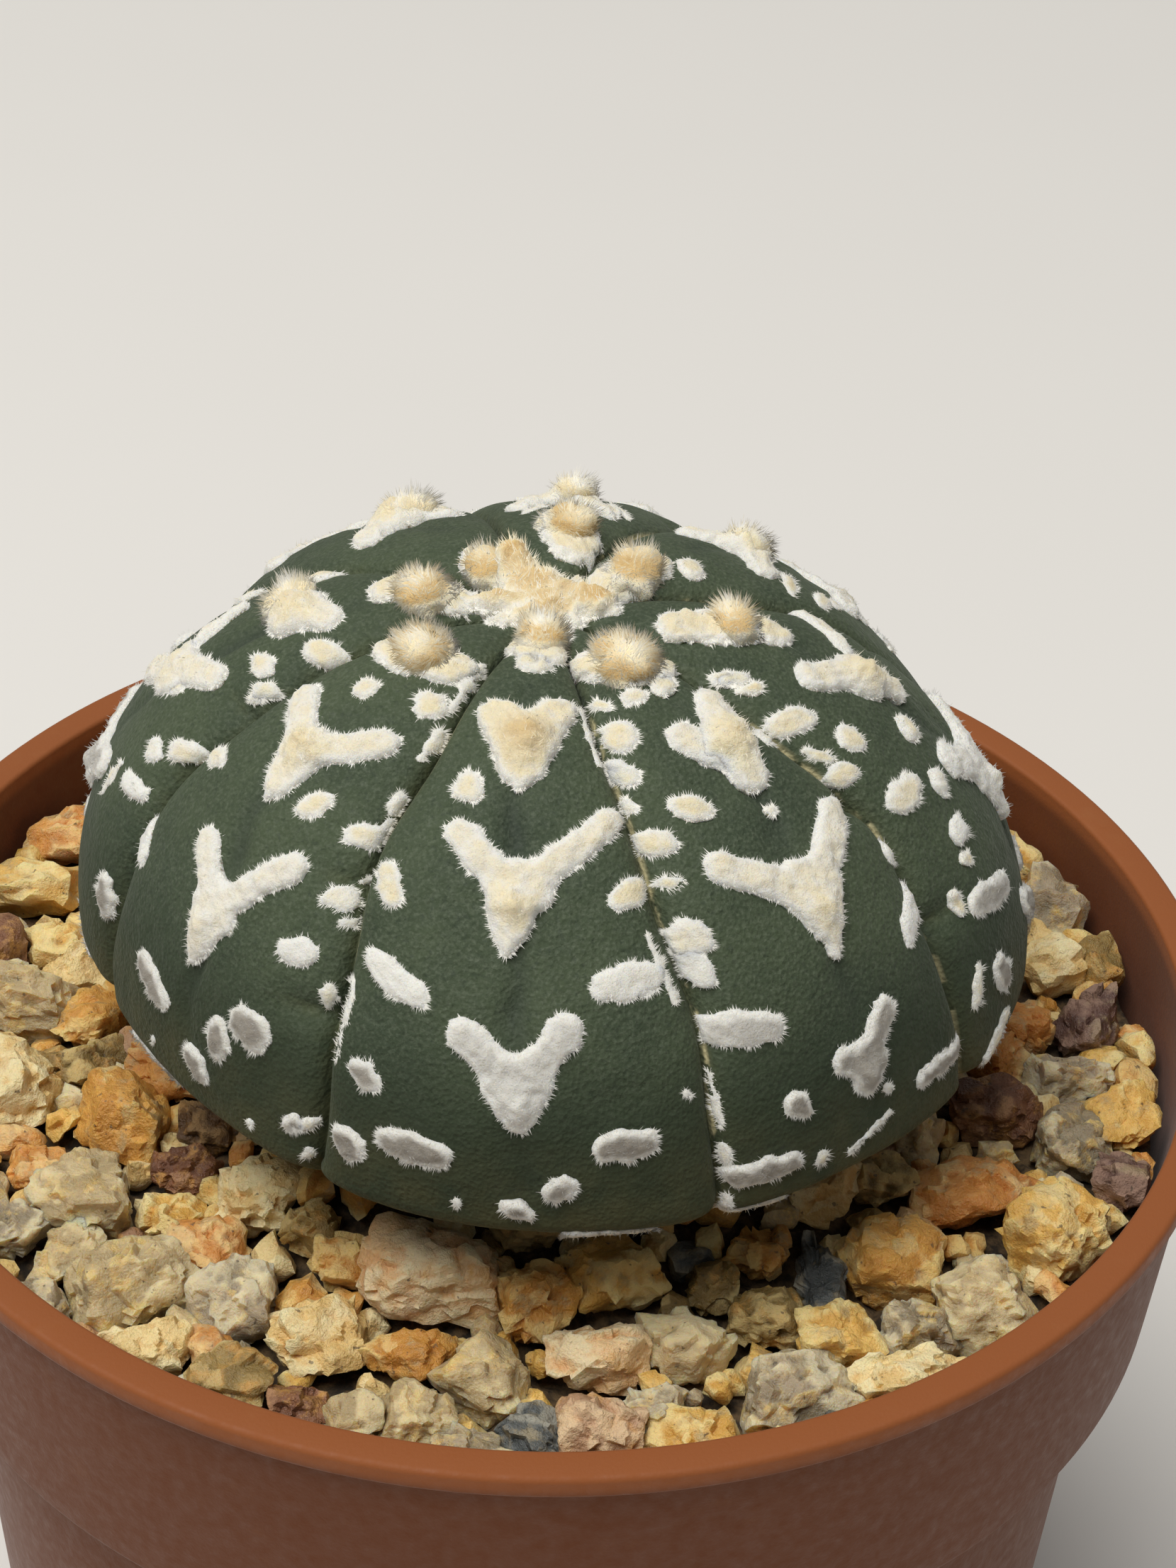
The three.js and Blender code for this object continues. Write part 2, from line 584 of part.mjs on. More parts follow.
function gritBed() {
  const outline = [
    [0, SOIL_TOP],
    [innerRadius(SOIL_TOP) - CLEARANCE, SOIL_TOP],
    [innerRadius(GRIT_BED_TOP) - CLEARANCE, GRIT_BED_TOP],
    ...MOUND_RINGS.map((radius) => [radius, bedHeight(radius)]),
  ];
  return toManifold(lathe(outline, FILL_SIDES));
}

// A stone is a ball of few faces cut down by planes at random turns, then stretched and laid flat
const STONE_CUTS = 7;
const STONE_CUT_DEEPEST = 0.88;
const STONE_CORNER_REACH = 1.2;
const STONE_SHAPE_SEED = 107;
const STONE_FLATNESS = 0.42;
const STONE_TILT = 24;

function randomDirection(random) {
  const z = 2 * random() - 1;
  const angle = 2 * Math.PI * random();
  const flat = Math.sqrt(1 - z * z);
  return new THREE.Vector3(flat * Math.cos(angle), flat * Math.sin(angle), z);
}

function bareBall() {
  const ball = new THREE.IcosahedronGeometry(1, 0);
  ball.deleteAttribute("normal");
  ball.deleteAttribute("uv");
  return mergeVertices(ball);
}

function stoneGeometry(stone, random) {
  const cuts = [];
  for (let i = 0; i < STONE_CUTS; i++) {
    cuts.push([randomDirection(random), STONE_CUT_DEEPEST + 0.25 * random()]);
  }
  const halfHeight = STONE_FLATNESS * Math.min(stone.wide, stone.deep);
  const stand = halfHeight * (GRIT_STAND + 0.3 * (random() - 0.5));
  const level = bedHeight(Math.hypot(stone.x, stone.y)) + stand;
  const tilt = radians(STONE_TILT * (random() - 0.5));
  const ball = bareBall();
  const position = ball.attributes.position;
  const corner = new THREE.Vector3();
  const half = [stone.wide / 2, stone.deep / 2, halfHeight];
  for (let i = 0; i < position.count; i++) {
    corner.fromBufferAttribute(position, i).normalize();
    let reach = STONE_CORNER_REACH;
    for (const [direction, distance] of cuts) {
      const facing = corner.dot(direction);
      reach = facing > 0.05 ? Math.min(reach, distance / facing) : reach;
    }
    corner.multiplyScalar(reach).multiply(new THREE.Vector3(...half));
    corner.applyAxisAngle(new THREE.Vector3(1, 0, 0), tilt);
    corner.applyAxisAngle(new THREE.Vector3(0, 0, 1), radians(stone.turn));
    corner.add(new THREE.Vector3(stone.x, stone.y, level));
    const radius = Math.hypot(corner.x, corner.y);
    if (radius > WALL_REACH) {
      corner.x *= WALL_REACH / radius;
      corner.y *= WALL_REACH / radius;
    }
    position.setXYZ(i, corner.x, corner.y, corner.z);
  }
  return ball;
}

function gritGeometry() {
  const random = makeRandom(STONE_SHAPE_SEED);
  let grit = gritBed();
  for (const stone of allStones()) {
    grit = grit.add(toManifold(stoneGeometry(stone, random)));
  }
  return toGeometry(mainPiece(smoothed(grit.subtract(rootHole()), GRIT_SMOOTHING)));
}

// Bare body of the cactus, from the root's tip up through the neck to the crown
const COLUMN_PLACES = [-1, -0.84, -0.45, 0, 0.45, 0.84];
const ROW_STEP = 2;
const NECK_DOWN = ARC[ARC_STEPS] - 0.2;
const FINE_ROWS_END = 44;
const CROWN_RING = 1.2;

function bodyRows() {
  const rows = [];
  for (let down = CROWN_RING; down < FINE_ROWS_END; down += ROW_STEP) {
    rows.push(down);
  }
  for (let down = FINE_ROWS_END; down < NECK_DOWN - ROW_STEP; down += 2 * ROW_STEP) {
    rows.push(down);
  }
  rows.push(NECK_DOWN);
  return rows.reverse();
}

function bodyRing(down) {
  const ring = [];
  for (let rib = 0; rib < RIBS; rib++) {
    for (const u of COLUMN_PLACES) {
      ring.push(skinPoint(down, rib, u));
    }
  }
  return ring;
}

function rootRing(z) {
  const neck = bodyRing(NECK_DOWN);
  return neck.map((point) => {
    const x = point.x - AXIS_X;
    const y = point.y - AXIS_Y;
    const scale = rootRadius(z) / Math.hypot(x, y);
    return new THREE.Vector3(AXIS_X + x * scale, AXIS_Y + y * scale, z);
  });
}

function bodySolid() {
  const root = ROOT_LEVELS.map(rootRing);
  const skin = bodyRows().map(bodyRing);
  const tip = new THREE.Vector3(AXIS_X, AXIS_Y, ROOT_END_Z - CLEARANCE);
  const crown = skinPoint(0.001, 0, 0);
  return toManifold(ringBody(tip, [...root, ...skin], crown));
}

// One mark, or one arm of a V, is a low puff with its root sunk in the skin
const PUFF_SIDES = 6;
const PUFF_ROOT = 0.9;
const PUFF_TOP = 0.8;

function puff(width, height, from, to, rib) {
  const along = Math.atan2(to[1] - from[1], to[0] - from[0]);
  const middle = middleOf(from, to);
  const centre = placeOnRib(...middle, rib);
  const up = outward(...middle, rib);
  const foot = [];
  const top = [];
  for (let i = 0; i < PUFF_SIDES; i++) {
    const angle = along - Math.PI / 2 + (2 * Math.PI * (i + 0.5)) / PUFF_SIDES;
    const end = i < PUFF_SIDES / 2 ? to : from;
    const down = end[0] + (width / 2) * Math.cos(angle);
    const across = end[1] + (width / 2) * Math.sin(angle);
    const edge = placeOnRib(Math.max(down, 0.3), across, rib);
    foot.push(edge.clone().addScaledVector(up, -PUFF_ROOT));
    top.push(centre.clone().lerp(edge, PUFF_TOP).addScaledVector(up, height));
  }
  const start = centre.clone().addScaledVector(up, -PUFF_ROOT);
  const end = centre.clone().addScaledVector(up, height + 0.15);
  return toManifold(ringBody(start, [foot, top], end));
}

function markPuffs([width, height, ...places], rib) {
  if (places.length === 1) {
    return [puff(width, height, places[0], places[0], rib)];
  }
  return places.slice(1).map((place, i) => puff(width, height, places[i], place, rib));
}

function bodyGeometry() {
  let body = bodySolid();
  RIB_MARKS.forEach((marks, rib) => {
    for (const mark of marks) {
      for (const solid of markPuffs(mark, rib)) {
        body = body.add(solid);
      }
    }
  });
  return toGeometry(mainPiece(smoothed(body, SKIN_SMOOTHING)));
}

// Wool that fills the crown, a lobed cushion whose underside is cut to lie just clear of the skin
const WOOL_REACH = 2.7;
const WOOL_LOBE = -0.25;
const WOOL_HEIGHT = 1.6;
const WOOL_ROOT = 0.7;
const WOOL_ROWS = [1, 0.7, 0.35];
const WOOL_COLUMNS = [-1, -0.5, 0, 0.5];

function woolRing(part, lift) {
  const points = [];
  for (let rib = 0; rib < RIBS; rib++) {
    for (const u of WOOL_COLUMNS) {
      const reach = WOOL_REACH + WOOL_LOBE * Math.cos(Math.PI * u);
      const point = skinPoint(part * reach, rib, u);
      point.z += lift;
      points.push(point);
    }
  }
  return points;
}

function woolGeometry() {
  const lift = (part) => WOOL_HEIGHT * Math.sqrt(1 - (0.95 * part) ** 2);
  const over = WOOL_ROWS.map((part) => woolRing(part, lift(part)));
  const start = skinPoint(0.001, 0, 0);
  const end = start.clone();
  start.z -= WOOL_ROOT;
  end.z += WOOL_HEIGHT;
  const cushion = toManifold(ringBody(start, [woolRing(1, -WOOL_ROOT), ...over], end));
  return toGeometry(cushion.subtract(bodySolid().translate([0, 0, CLEARANCE])));
}

// Materials
const terracottaPlastic = new THREE.MeshStandardMaterial({ color: 0x8a5640, roughness: 0.5, metalness: 0 });
const soilMix = new THREE.MeshStandardMaterial({ color: 0x33261c, roughness: 1, metalness: 0 });
const gritStone = new THREE.MeshStandardMaterial({ color: 0xb39a6b, roughness: 0.8, metalness: 0 });
const cactusSkin = new THREE.MeshStandardMaterial({ color: 0x3d4a38, roughness: 0.85, metalness: 0 });
const creamWool = new THREE.MeshStandardMaterial({ color: 0xe8dcc0, roughness: 1, metalness: 0 });

const plant = new THREE.Group();

function addPart(name, geometry, material) {
  const mesh = new THREE.Mesh(geometry, material);
  mesh.name = name;
  plant.add(mesh);
}

addPart("pot", potGeometry(), terracottaPlastic);
addPart("soil", soilGeometry(), soilMix);
addPart("gravel", gritGeometry(), gritStone);
addPart("cactus_body", bodyGeometry(), cactusSkin);
addPart("crown_wool", woolGeometry(), creamWool);

export default plant;
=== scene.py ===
"""Looks of a potted star cactus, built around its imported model.

Sizes are in millimetres in the part's own frame and become metres when a mesh is made. The cactus's
skin is worked out from t, the turn from its crown over its widest place to its underside, and from a
rib's number with u, which runs from -1 to 1 between the rib's two grooves.
"""

import math
from types import SimpleNamespace

import bmesh
import bpy
import numpy as np
from mathutils import Matrix, Vector


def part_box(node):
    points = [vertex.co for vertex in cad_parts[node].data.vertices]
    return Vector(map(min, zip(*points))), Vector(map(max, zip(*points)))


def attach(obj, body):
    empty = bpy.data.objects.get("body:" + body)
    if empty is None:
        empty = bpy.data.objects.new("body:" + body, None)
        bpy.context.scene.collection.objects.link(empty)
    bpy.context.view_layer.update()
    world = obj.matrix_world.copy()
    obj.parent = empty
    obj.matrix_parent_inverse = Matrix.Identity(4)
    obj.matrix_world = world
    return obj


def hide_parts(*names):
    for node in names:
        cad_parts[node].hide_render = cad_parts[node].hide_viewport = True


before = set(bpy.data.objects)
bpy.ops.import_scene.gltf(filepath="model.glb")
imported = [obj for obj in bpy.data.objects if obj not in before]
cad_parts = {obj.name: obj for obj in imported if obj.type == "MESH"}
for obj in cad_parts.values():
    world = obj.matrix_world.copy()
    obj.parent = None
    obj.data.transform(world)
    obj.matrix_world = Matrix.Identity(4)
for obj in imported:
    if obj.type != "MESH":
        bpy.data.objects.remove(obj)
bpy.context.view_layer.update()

MM = 0.001

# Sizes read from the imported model: its boxes' lowest and highest corners
POT_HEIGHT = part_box("pot")[1][2] / MM
RIM_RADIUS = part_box("pot")[1][0] / MM
SOIL_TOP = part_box("soil")[1][2] / MM
ROOT_TIP_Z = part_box("cactus_body")[0][2] / MM
ROOT_END_Z = ROOT_TIP_Z + 0.3

# The rest of the pot
LIP_WIDTH = 2.1
LIP_DEPTH = 1.5
COLLAR_TOP_RADIUS = 39.2
COLLAR_LOW_RADIUS = 37.9
COLLAR_LOW_Z = 51.7
BARREL_TOP_RADIUS = 35.4
BARREL_TOP_Z = 50.9
BASE_RADIUS = 31.7
WALL = 1.3
FOOT_HEIGHT = 2
FOOT_WIDTH = 4
FLOOR = 1.6
DRAIN_RADIUS = 3.2
DRAIN_CIRCLE = 17
DRAIN_COUNT = 6
DRAIN_SIDES = 40
DRAIN_REACH = 1.5
POT_SIDES = 192
POT_WOBBLE = 0.03

# The grit
GRIT_BED_TOP = 62.6
GRIT_MOUND = 3.4
MOUND_INNER = 15
MOUND_OUTER = 27
GRIT_STAND = 0.4
GRIT_INNER = 21
GRIT_OUTER = 35.2
WALL_REACH = 37.0

# The cactus
RIBS = 8
AXIS = np.array([1.0, -0.8])
CREST_RADIUS = 26.9
WIDEST_Z = 73.6
RISE = 21.4
DROP = 7.2
UPPER_CURVE = 2.15
LOWER_CURVE = 1.6
RIB_TURN = -4
LEAN = -1.5
LOBE_DEPTH = 0.032
LOBE_DEPTH_LOW = 0.004
LOBE_CURVE = 2.4
CREASE_DEPTH = 0.032
CREASE_WIDTH = 0.06
CROWN_DIP = 1.2
CROWN_DIP_RADIUS = 5
NECK_RADIUS = 6
ROOT_TIP_RADIUS = 1.2

RIB_FULLNESS = np.array([1.005, 0.985, 1.0, 0.955, 1.01, 1.0, 1.02, 0.965])

# How far the groove after each rib strays, in degrees: near the crown, at the shoulder and low down
GROOVE_DRIFT = np.array([
    [-2.5, 0.5, 2.5],
    [-6, -3, -4],
    [0, 1, 0],
    [1, 0, -1],
    [-1, 0, 1],
    [0, -1, 0],
    [0.5, 1, 0.5],
    [1, 0, -0.5],
])
DRIFT_STATIONS = [0.3, 0.9, 1.5]

# Cross folds, where a groove runs a little way into a rib: rib, side, mm down from the crown, reach
FOLDS = [
    [7, 1, 22.2, 0.45], [7, 1, 29.5, 0.5], [1, 1, 21.0, 0.5], [2, -1, 29.0, 0.45],
    [6, 1, 18.5, 0.5], [6, -1, 30.0, 0.5], [2, 1, 20.0, 0.45], [3, 1, 28.0, 0.5],
    [4, -1, 19.0, 0.45], [4, 1, 27.5, 0.5], [5, -1, 29.0, 0.5],
]
FOLD_DEPTH = 0.022
FOLD_WIDTH = 0.9
FOLD_SLIT_WIDTH = 0.22

# Finer relief that only the dressed skin has
SLIT_DEPTH = 0.016
SLIT_WIDTH = 0.018
FURROW_DEPTH = 0.3
FURROW_WIDTH = 0.55
FURROW_BELOW = (0, 1.5, 4.5, 7.5)
FURROW_ABOVE = (-6.5, -5, -3.2, -1.5)
SWELL = 0.16
SWELL_SIZE = 4.5
RIPPLE = 0.04
RIPPLE_SIZE = 1.3


def make_random(seed):
    state = seed

    def draw():
        nonlocal state
        state = (state * 1664525 + 1013904223) & 0xFFFFFFFF
        return state / 4294967296

    return draw


def smooth_step(start, end, value):
    x = np.clip((np.asarray(value, float) - start) / (end - start), 0, 1)
    return x * x * (3 - 2 * x)


def lattice_noise(points, size, seed=0):
    """Smooth noise from -1 to 1 whose lumps are about the given size."""
    place = np.asarray(points, float) / size + 0.37 * seed
    cell = np.floor(place).astype(np.int64)
    part = place - cell
    part = part * part * (3 - 2 * part)
    total = np.zeros(len(place))
    for corner in np.ndindex(*(2,) * place.shape[1]):
        key = np.full(len(place), seed * 7919 + 11, np.int64)
        weight = np.ones(len(place))
        for axis, step in enumerate(corner):
            key = (key * 374761393 + (cell[:, axis] + step) * 668265263) & 0xFFFFFFFF
            key = ((key ^ (key >> 13)) * 1274126177) & 0xFFFFFFFF
            weight *= part[:, axis] if step else 1 - part[:, axis]
        total += weight * (((key ^ (key >> 16)) & 0xFFFFFFFF) / 2147483648 - 1)
    return total


def relief(points, layers, seed):
    """Layers of noise added up, each with its height and the size of its lumps."""
    return sum(rise * lattice_noise(points, size, seed + k) for k, (rise, size) in enumerate(layers))


def unit(vectors):
    return vectors / np.maximum(np.linalg.norm(vectors, axis=-1, keepdims=True), 1e-9)


def turns_around(count):
    return 2 * math.pi * np.arange(count) / count


def level_ring(middle, radius, turns, z):
    """Points around a middle at one height."""
    x = middle[0] + radius * np.cos(turns)
    y = middle[1] + radius * np.sin(turns)
    return np.stack([x, y, np.full(len(turns), z)], axis=-1)


# Skin of the cactus
def profile(t):
    sine = np.maximum(np.sin(t), 0)
    cosine = np.cos(t)
    curve = np.where(cosine >= 0, UPPER_CURVE, LOWER_CURVE)
    reach = np.where(cosine >= 0, RISE, -DROP)
    return CREST_RADIUS * sine ** (2 / curve), reach * np.abs(cosine) ** (2 / curve)


ARC_STEPS = 1400
ARC_END = 2.84
ARC_TURNS = np.linspace(0, ARC_END, ARC_STEPS + 1)
ARC = np.concatenate([[0], np.cumsum(np.hypot(*(np.diff(values) for values in profile(ARC_TURNS))))])


def turn_at(down):
    return np.interp(down, ARC, ARC_TURNS)


def groove_angle(groove, t):
    own = np.mod(groove, RIBS)
    top, shoulder, low = np.moveaxis(GROOVE_DRIFT[own], -1, 0)
    to_shoulder = smooth_step(DRIFT_STATIONS[0], DRIFT_STATIONS[1], t)
    to_low = smooth_step(DRIFT_STATIONS[1], DRIFT_STATIONS[2], t)
    drift = top * (1 - to_shoulder) + shoulder * (to_shoulder - to_low) + low * to_low
    waver = 0.7 * np.sin(7 * t + 1.7 * own) + 0.4 * np.sin(13 * t + 2.9 * own)
    return -90 + (360 / RIBS) * (groove + 0.5) + RIB_TURN + drift + waver


def fold_depth(rib, u, down, width=FOLD_WIDTH):
    depth = np.zeros(np.shape(u))
    for fold_rib, side, place, reach in FOLDS:
        across = smooth_step(1 - reach, 1, np.abs(u)) * (side * u > 0) * (rib == fold_rib)
        depth += FOLD_DEPTH * across * np.exp(-(((down - place) / width) ** 2))
    return depth


def half_width(down, rib):
    t = turn_at(down)
    spread = np.radians(groove_angle(rib, t) - groove_angle(rib - 1, t)) / 2
    return profile(t)[0] * spread


def skin(down, rib, u):
    """Places on the skin for arrays of mm down the crest, rib numbers and u."""
    down, rib, u = np.broadcast_arrays(np.asarray(down, float), np.asarray(rib, int), np.asarray(u, float))
    t = turn_at(down)
    own = np.mod(rib, RIBS)
    beside = np.mod(rib + np.sign(u).astype(int), RIBS)
    start = groove_angle(rib - 1, t)
    end = groove_angle(rib, t)
    angle = np.radians((start + end) / 2 + u * (end - start) / 2)
    share = 0.5 * u * u
    fullness = RIB_FULLNESS[own] * (1 - share) + RIB_FULLNESS[beside] * share - 1
    radius, height = profile(t)
    full = radius * (1 + fullness * np.maximum(np.sin(t), 0) ** 1.5)
    low = np.clip((t - 1.1) / 0.6, 0, 1)
    lobe = LOBE_DEPTH * (1 - low) + LOBE_DEPTH_LOW * low
    edge = 1 - np.abs(u)
    crease = CREASE_DEPTH * np.exp(-edge / CREASE_WIDTH) + SLIT_DEPTH * np.exp(-edge / SLIT_WIDTH)
    folds = fold_depth(own, u, down) + 0.5 * fold_depth(own, u, down, FOLD_SLIT_WIDTH)
    cut = lobe * np.abs(u) ** LOBE_CURVE + crease + folds
    dip = CROWN_DIP * np.exp(-((full / CROWN_DIP_RADIUS) ** 2))
    z = height * (1 - 0.9 * cut * np.where(height > 0, 1, 0.3)) - dip
    r = full * (1 - cut)
    return np.stack([
        AXIS[0] + r * np.cos(angle) + LEAN * np.maximum(z, 0) / RISE,
        AXIS[1] + r * np.sin(angle),
        WIDEST_Z + z,
    ], axis=-1)


EDGE_LIMIT = 0.985


def on_rib(down, across, rib):
    u = np.clip(across / np.maximum(half_width(down, rib), 0.05), -EDGE_LIMIT, EDGE_LIMIT)
    return skin(down, rib, u)


def skin_frames(down, across, rib, step=0.4):
    """Places on a rib, with the directions outwards, down the rib and across it."""
    down = np.maximum(np.asarray(down, float), 0.15)
    here = on_rib(down, across, rib)
    downward = unit(on_rib(down + step, across, rib) - on_rib(np.maximum(down - step, 0.1), across, rib))
    sideways = unit(on_rib(down, across + step, rib) - on_rib(down, across - step, rib))
    return here, unit(np.cross(downward, sideways)), downward, sideways


# Wool marks of each rib: [width, height, (down, across), ...] in mm. One place is a dot, two are an
# oval or a bar, and three are a V or a heart. The part has the same marks, plainer.
FLAT = 0.45
PAD = 0.65
TUFT = 1.85

RIB_MARKS = [
    [
        [2.6, PAD, (4.6, -0.6), (5.2, 0.9)], [1.7, PAD, (6.1, 0.2)], [2.3, TUFT, (3.9, 0.4)],
        [2.4, PAD, (10.4, -1.2), (13.4, 0.2), (10.1, 1.6)], [1.8, FLAT, (15.0, -2.4)],
        [1.8, PAD, (17.8, -2.4), (21.8, 0.4), (16.9, 4.9)], [2.0, FLAT, (21.3, -6.2)],
        [2.0, FLAT, (20.8, 6.4)], [1.8, FLAT, (25.6, -7.2), (26.4, -5.0)],
        [1.8, FLAT, (25.3, 4.8), (25.1, 7.4)],
        [1.8, PAD, (28.0, -2.4), (31.6, 0.4), (27.5, 2.6)],
        [1.5, FLAT, (31.3, -8.4), (31.6, -7.3)], [1.8, FLAT, (34.6, -6.4), (34.7, -3.8)],
        [1.8, FLAT, (33.7, 4.9), (33.6, 6.9)], [1.4, FLAT, (36.3, 2.1), (35.7, 2.8)],
        [1.0, FLAT, (37.2, -0.3), (37.8, 0.9)], [1.8, FLAT, (35.8, -9.4), (35.8, -8.5)],
    ],
    [
        [3.3, PAD, (6.7, -0.9), (7.9, 1.9)], [2.9, TUFT, (7.2, 0.3)],
        [1.4, FLAT, (9.4, 0.8), (9.8, 1.5)], [1.4, FLAT, (9.6, -0.9)],
        [2.3, PAD, (12.0, 3.2), (14.3, 1.4), (16.2, 1.8)], [2.3, PAD, (13.0, -0.1), (15.2, 1.5)],
        [1.4, FLAT, (14.9, 5.0)], [1.9, FLAT, (11.8, -3.0)],
        [1.3, FLAT, (13.4, -4.1), (14.4, -4.2)], [1.6, FLAT, (16.7, -2.9), (17.1, -1.9)],
        [1.9, FLAT, (18.3, -5.3)], [2.0, PAD, (20.5, -3.1), (24.6, 0.6), (20.5, 5.0)],
        [2.2, FLAT, (23.6, -6.9)], [2.0, FLAT, (25.2, -7.3)], [1.6, FLAT, (24.2, 7.8)],
        [1.7, FLAT, (26.7, 8.2), (28.0, 6.1)], [1.9, FLAT, (28.5, -7.9), (29.0, -4.7)],
        [1.5, FLAT, (30.6, 2.4), (33.6, 0.4), (32.2, -0.9)], [1.6, FLAT, (33.6, -4.1)],
        [1.3, FLAT, (35.7, 4.4), (35.9, 8.2)], [1.5, FLAT, (36.9, -8.2), (36.8, -5.0)],
    ],
    [
        [2.9, PAD, (7.6, -0.6), (12.4, 1.6)], [2.3, TUFT, (10.5, 0.7)],
        [1.5, FLAT, (11.6, -3.6)], [2.3, FLAT, (15.5, -5.1)],
        [1.3, PAD, (15.7, 6.4), (17.2, 3.4)],
        [2.1, PAD, (15.2, -1.0), (18.2, 1.4), (19.9, 2.0)],
        [1.9, FLAT, (18.4, -4.4)], [1.7, FLAT, (19.4, -7.0)], [1.6, FLAT, (21.2, -0.8)],
        [1.9, FLAT, (22.6, -4.7), (22.6, -6.6)], [1.5, FLAT, (24.0, -2.8)],
        [1.9, PAD, (24.5, -0.1), (28.6, 3.0), (25.3, 6.3)], [1.6, FLAT, (26.4, -4.4)],
        [1.7, FLAT, (29.9, -6.6), (31.0, -3.1)], [2.1, FLAT, (34.6, -6.6)],
        [1.9, PAD, (34.4, 0.0), (36.6, 2.2)],
    ],
    [
        [3.1, PAD, (4.4, -0.5), (7.2, -0.6)], [2.9, TUFT, (5.7, -0.7)], [1.7, FLAT, (9.6, -1.6)],
        [2.0, PAD, (14.4, 2.8), (17.2, 0.6), (15.2, -2.0)], [2.2, TUFT, (16.0, 0.8)],
        [1.5, FLAT, (18.6, -4.4)], [1.9, PAD, (22.0, -3.2), (25.8, 0.2), (21.8, 4.2)],
        [1.9, PAD, (31.0, -2.8), (34.4, 0.4), (30.8, 3.0)],
    ],
    [
        [3.4, PAD, (6.4, -0.9), (9.0, -0.5)], [2.8, TUFT, (8.5, -0.6)],
        [1.9, PAD, (13.0, -2.2), (16.2, 0.0), (13.2, 2.6)], [2.3, TUFT, (14.8, 0.0)],
        [1.9, PAD, (21.4, -3.6), (25.0, 0.0), (21.6, 3.4)],
        [1.9, PAD, (30.2, -3.0), (34.0, 0.2), (30.4, 2.6)],
    ],
    [
        [2.5, PAD, (4.4, 0.2), (6.0, 0.2)], [2.3, 1.5, (4.5, 0.4)],
        [2.2, PAD, (13.6, -2.6), (15.6, -0.6), (14.0, 2.2)], [2.6, TUFT, (14.8, -1.0)],
        [1.9, PAD, (22.0, -3.0), (25.6, 0.4), (22.2, 4.0)],
        [1.9, PAD, (31.4, -2.4), (34.8, 0.2), (31.0, 3.2)],
    ],
    [
        [2.9, PAD, (5.2, 0.2), (8.6, -0.5)], [2.9, TUFT, (6.3, 0.2)],
        [2.3, PAD, (15.0, -1.6), (14.2, 0.8), (12.2, 1.4)], [2.3, TUFT, (14.4, -0.8)],
        [2.1, FLAT, (13.0, 4.1), (12.6, 4.2)], [1.6, FLAT, (16.2, 4.0)], [1.3, FLAT, (16.8, 5.8)],
        [1.1, PAD, (18.5, -3.3), (21.6, -0.6)],
        [2.0, PAD, (24.2, -1.6), (21.6, 0.4), (19.2, 3.2)], [1.8, FLAT, (22.6, 7.4)],
        [1.4, FLAT, (24.2, 6.0)], [1.3, FLAT, (26.8, 6.3), (26.5, 8.0)],
        [1.8, PAD, (29.0, -4.0), (32.0, -1.2), (29.0, 2.4)], [1.2, FLAT, (32.4, 9.2), (34.0, 9.8)],
    ],
    [
        [3.3, PAD, (9.0, -2.0), (8.2, 1.2)], [2.9, TUFT, (8.0, -0.2)],
        [1.3, FLAT, (12.4, -0.9), (11.8, -0.6)], [1.8, FLAT, (10.9, 2.8)],
        [2.0, PAD, (14.9, -3.4), (19.0, -0.2), (14.4, 2.8)],
        [1.6, FLAT, (19.5, 2.4), (18.7, 2.9)], [1.9, FLAT, (19.4, 6.1)],
        [1.2, FLAT, (21.0, -6.0), (20.8, -5.0)],
        [1.7, PAD, (24.4, -2.0), (28.8, 0.2), (22.7, 3.9)], [1.6, FLAT, (23.2, 7.1)],
        [1.6, FLAT, (26.8, 5.9), (26.5, 7.2)], [1.4, FLAT, (27.2, -8.9), (28.4, -7.7)],
        [2.5, FLAT, (31.9, 5.0)], [1.7, FLAT, (33.1, -4.4), (34.1, -2.2)],
        [1.7, FLAT, (32.9, 3.0), (34.3, 3.0)], [1.6, FLAT, (35.9, 0.8), (36.6, 1.8)],
        [1.1, FLAT, (36.2, 8.6)],
    ],
]

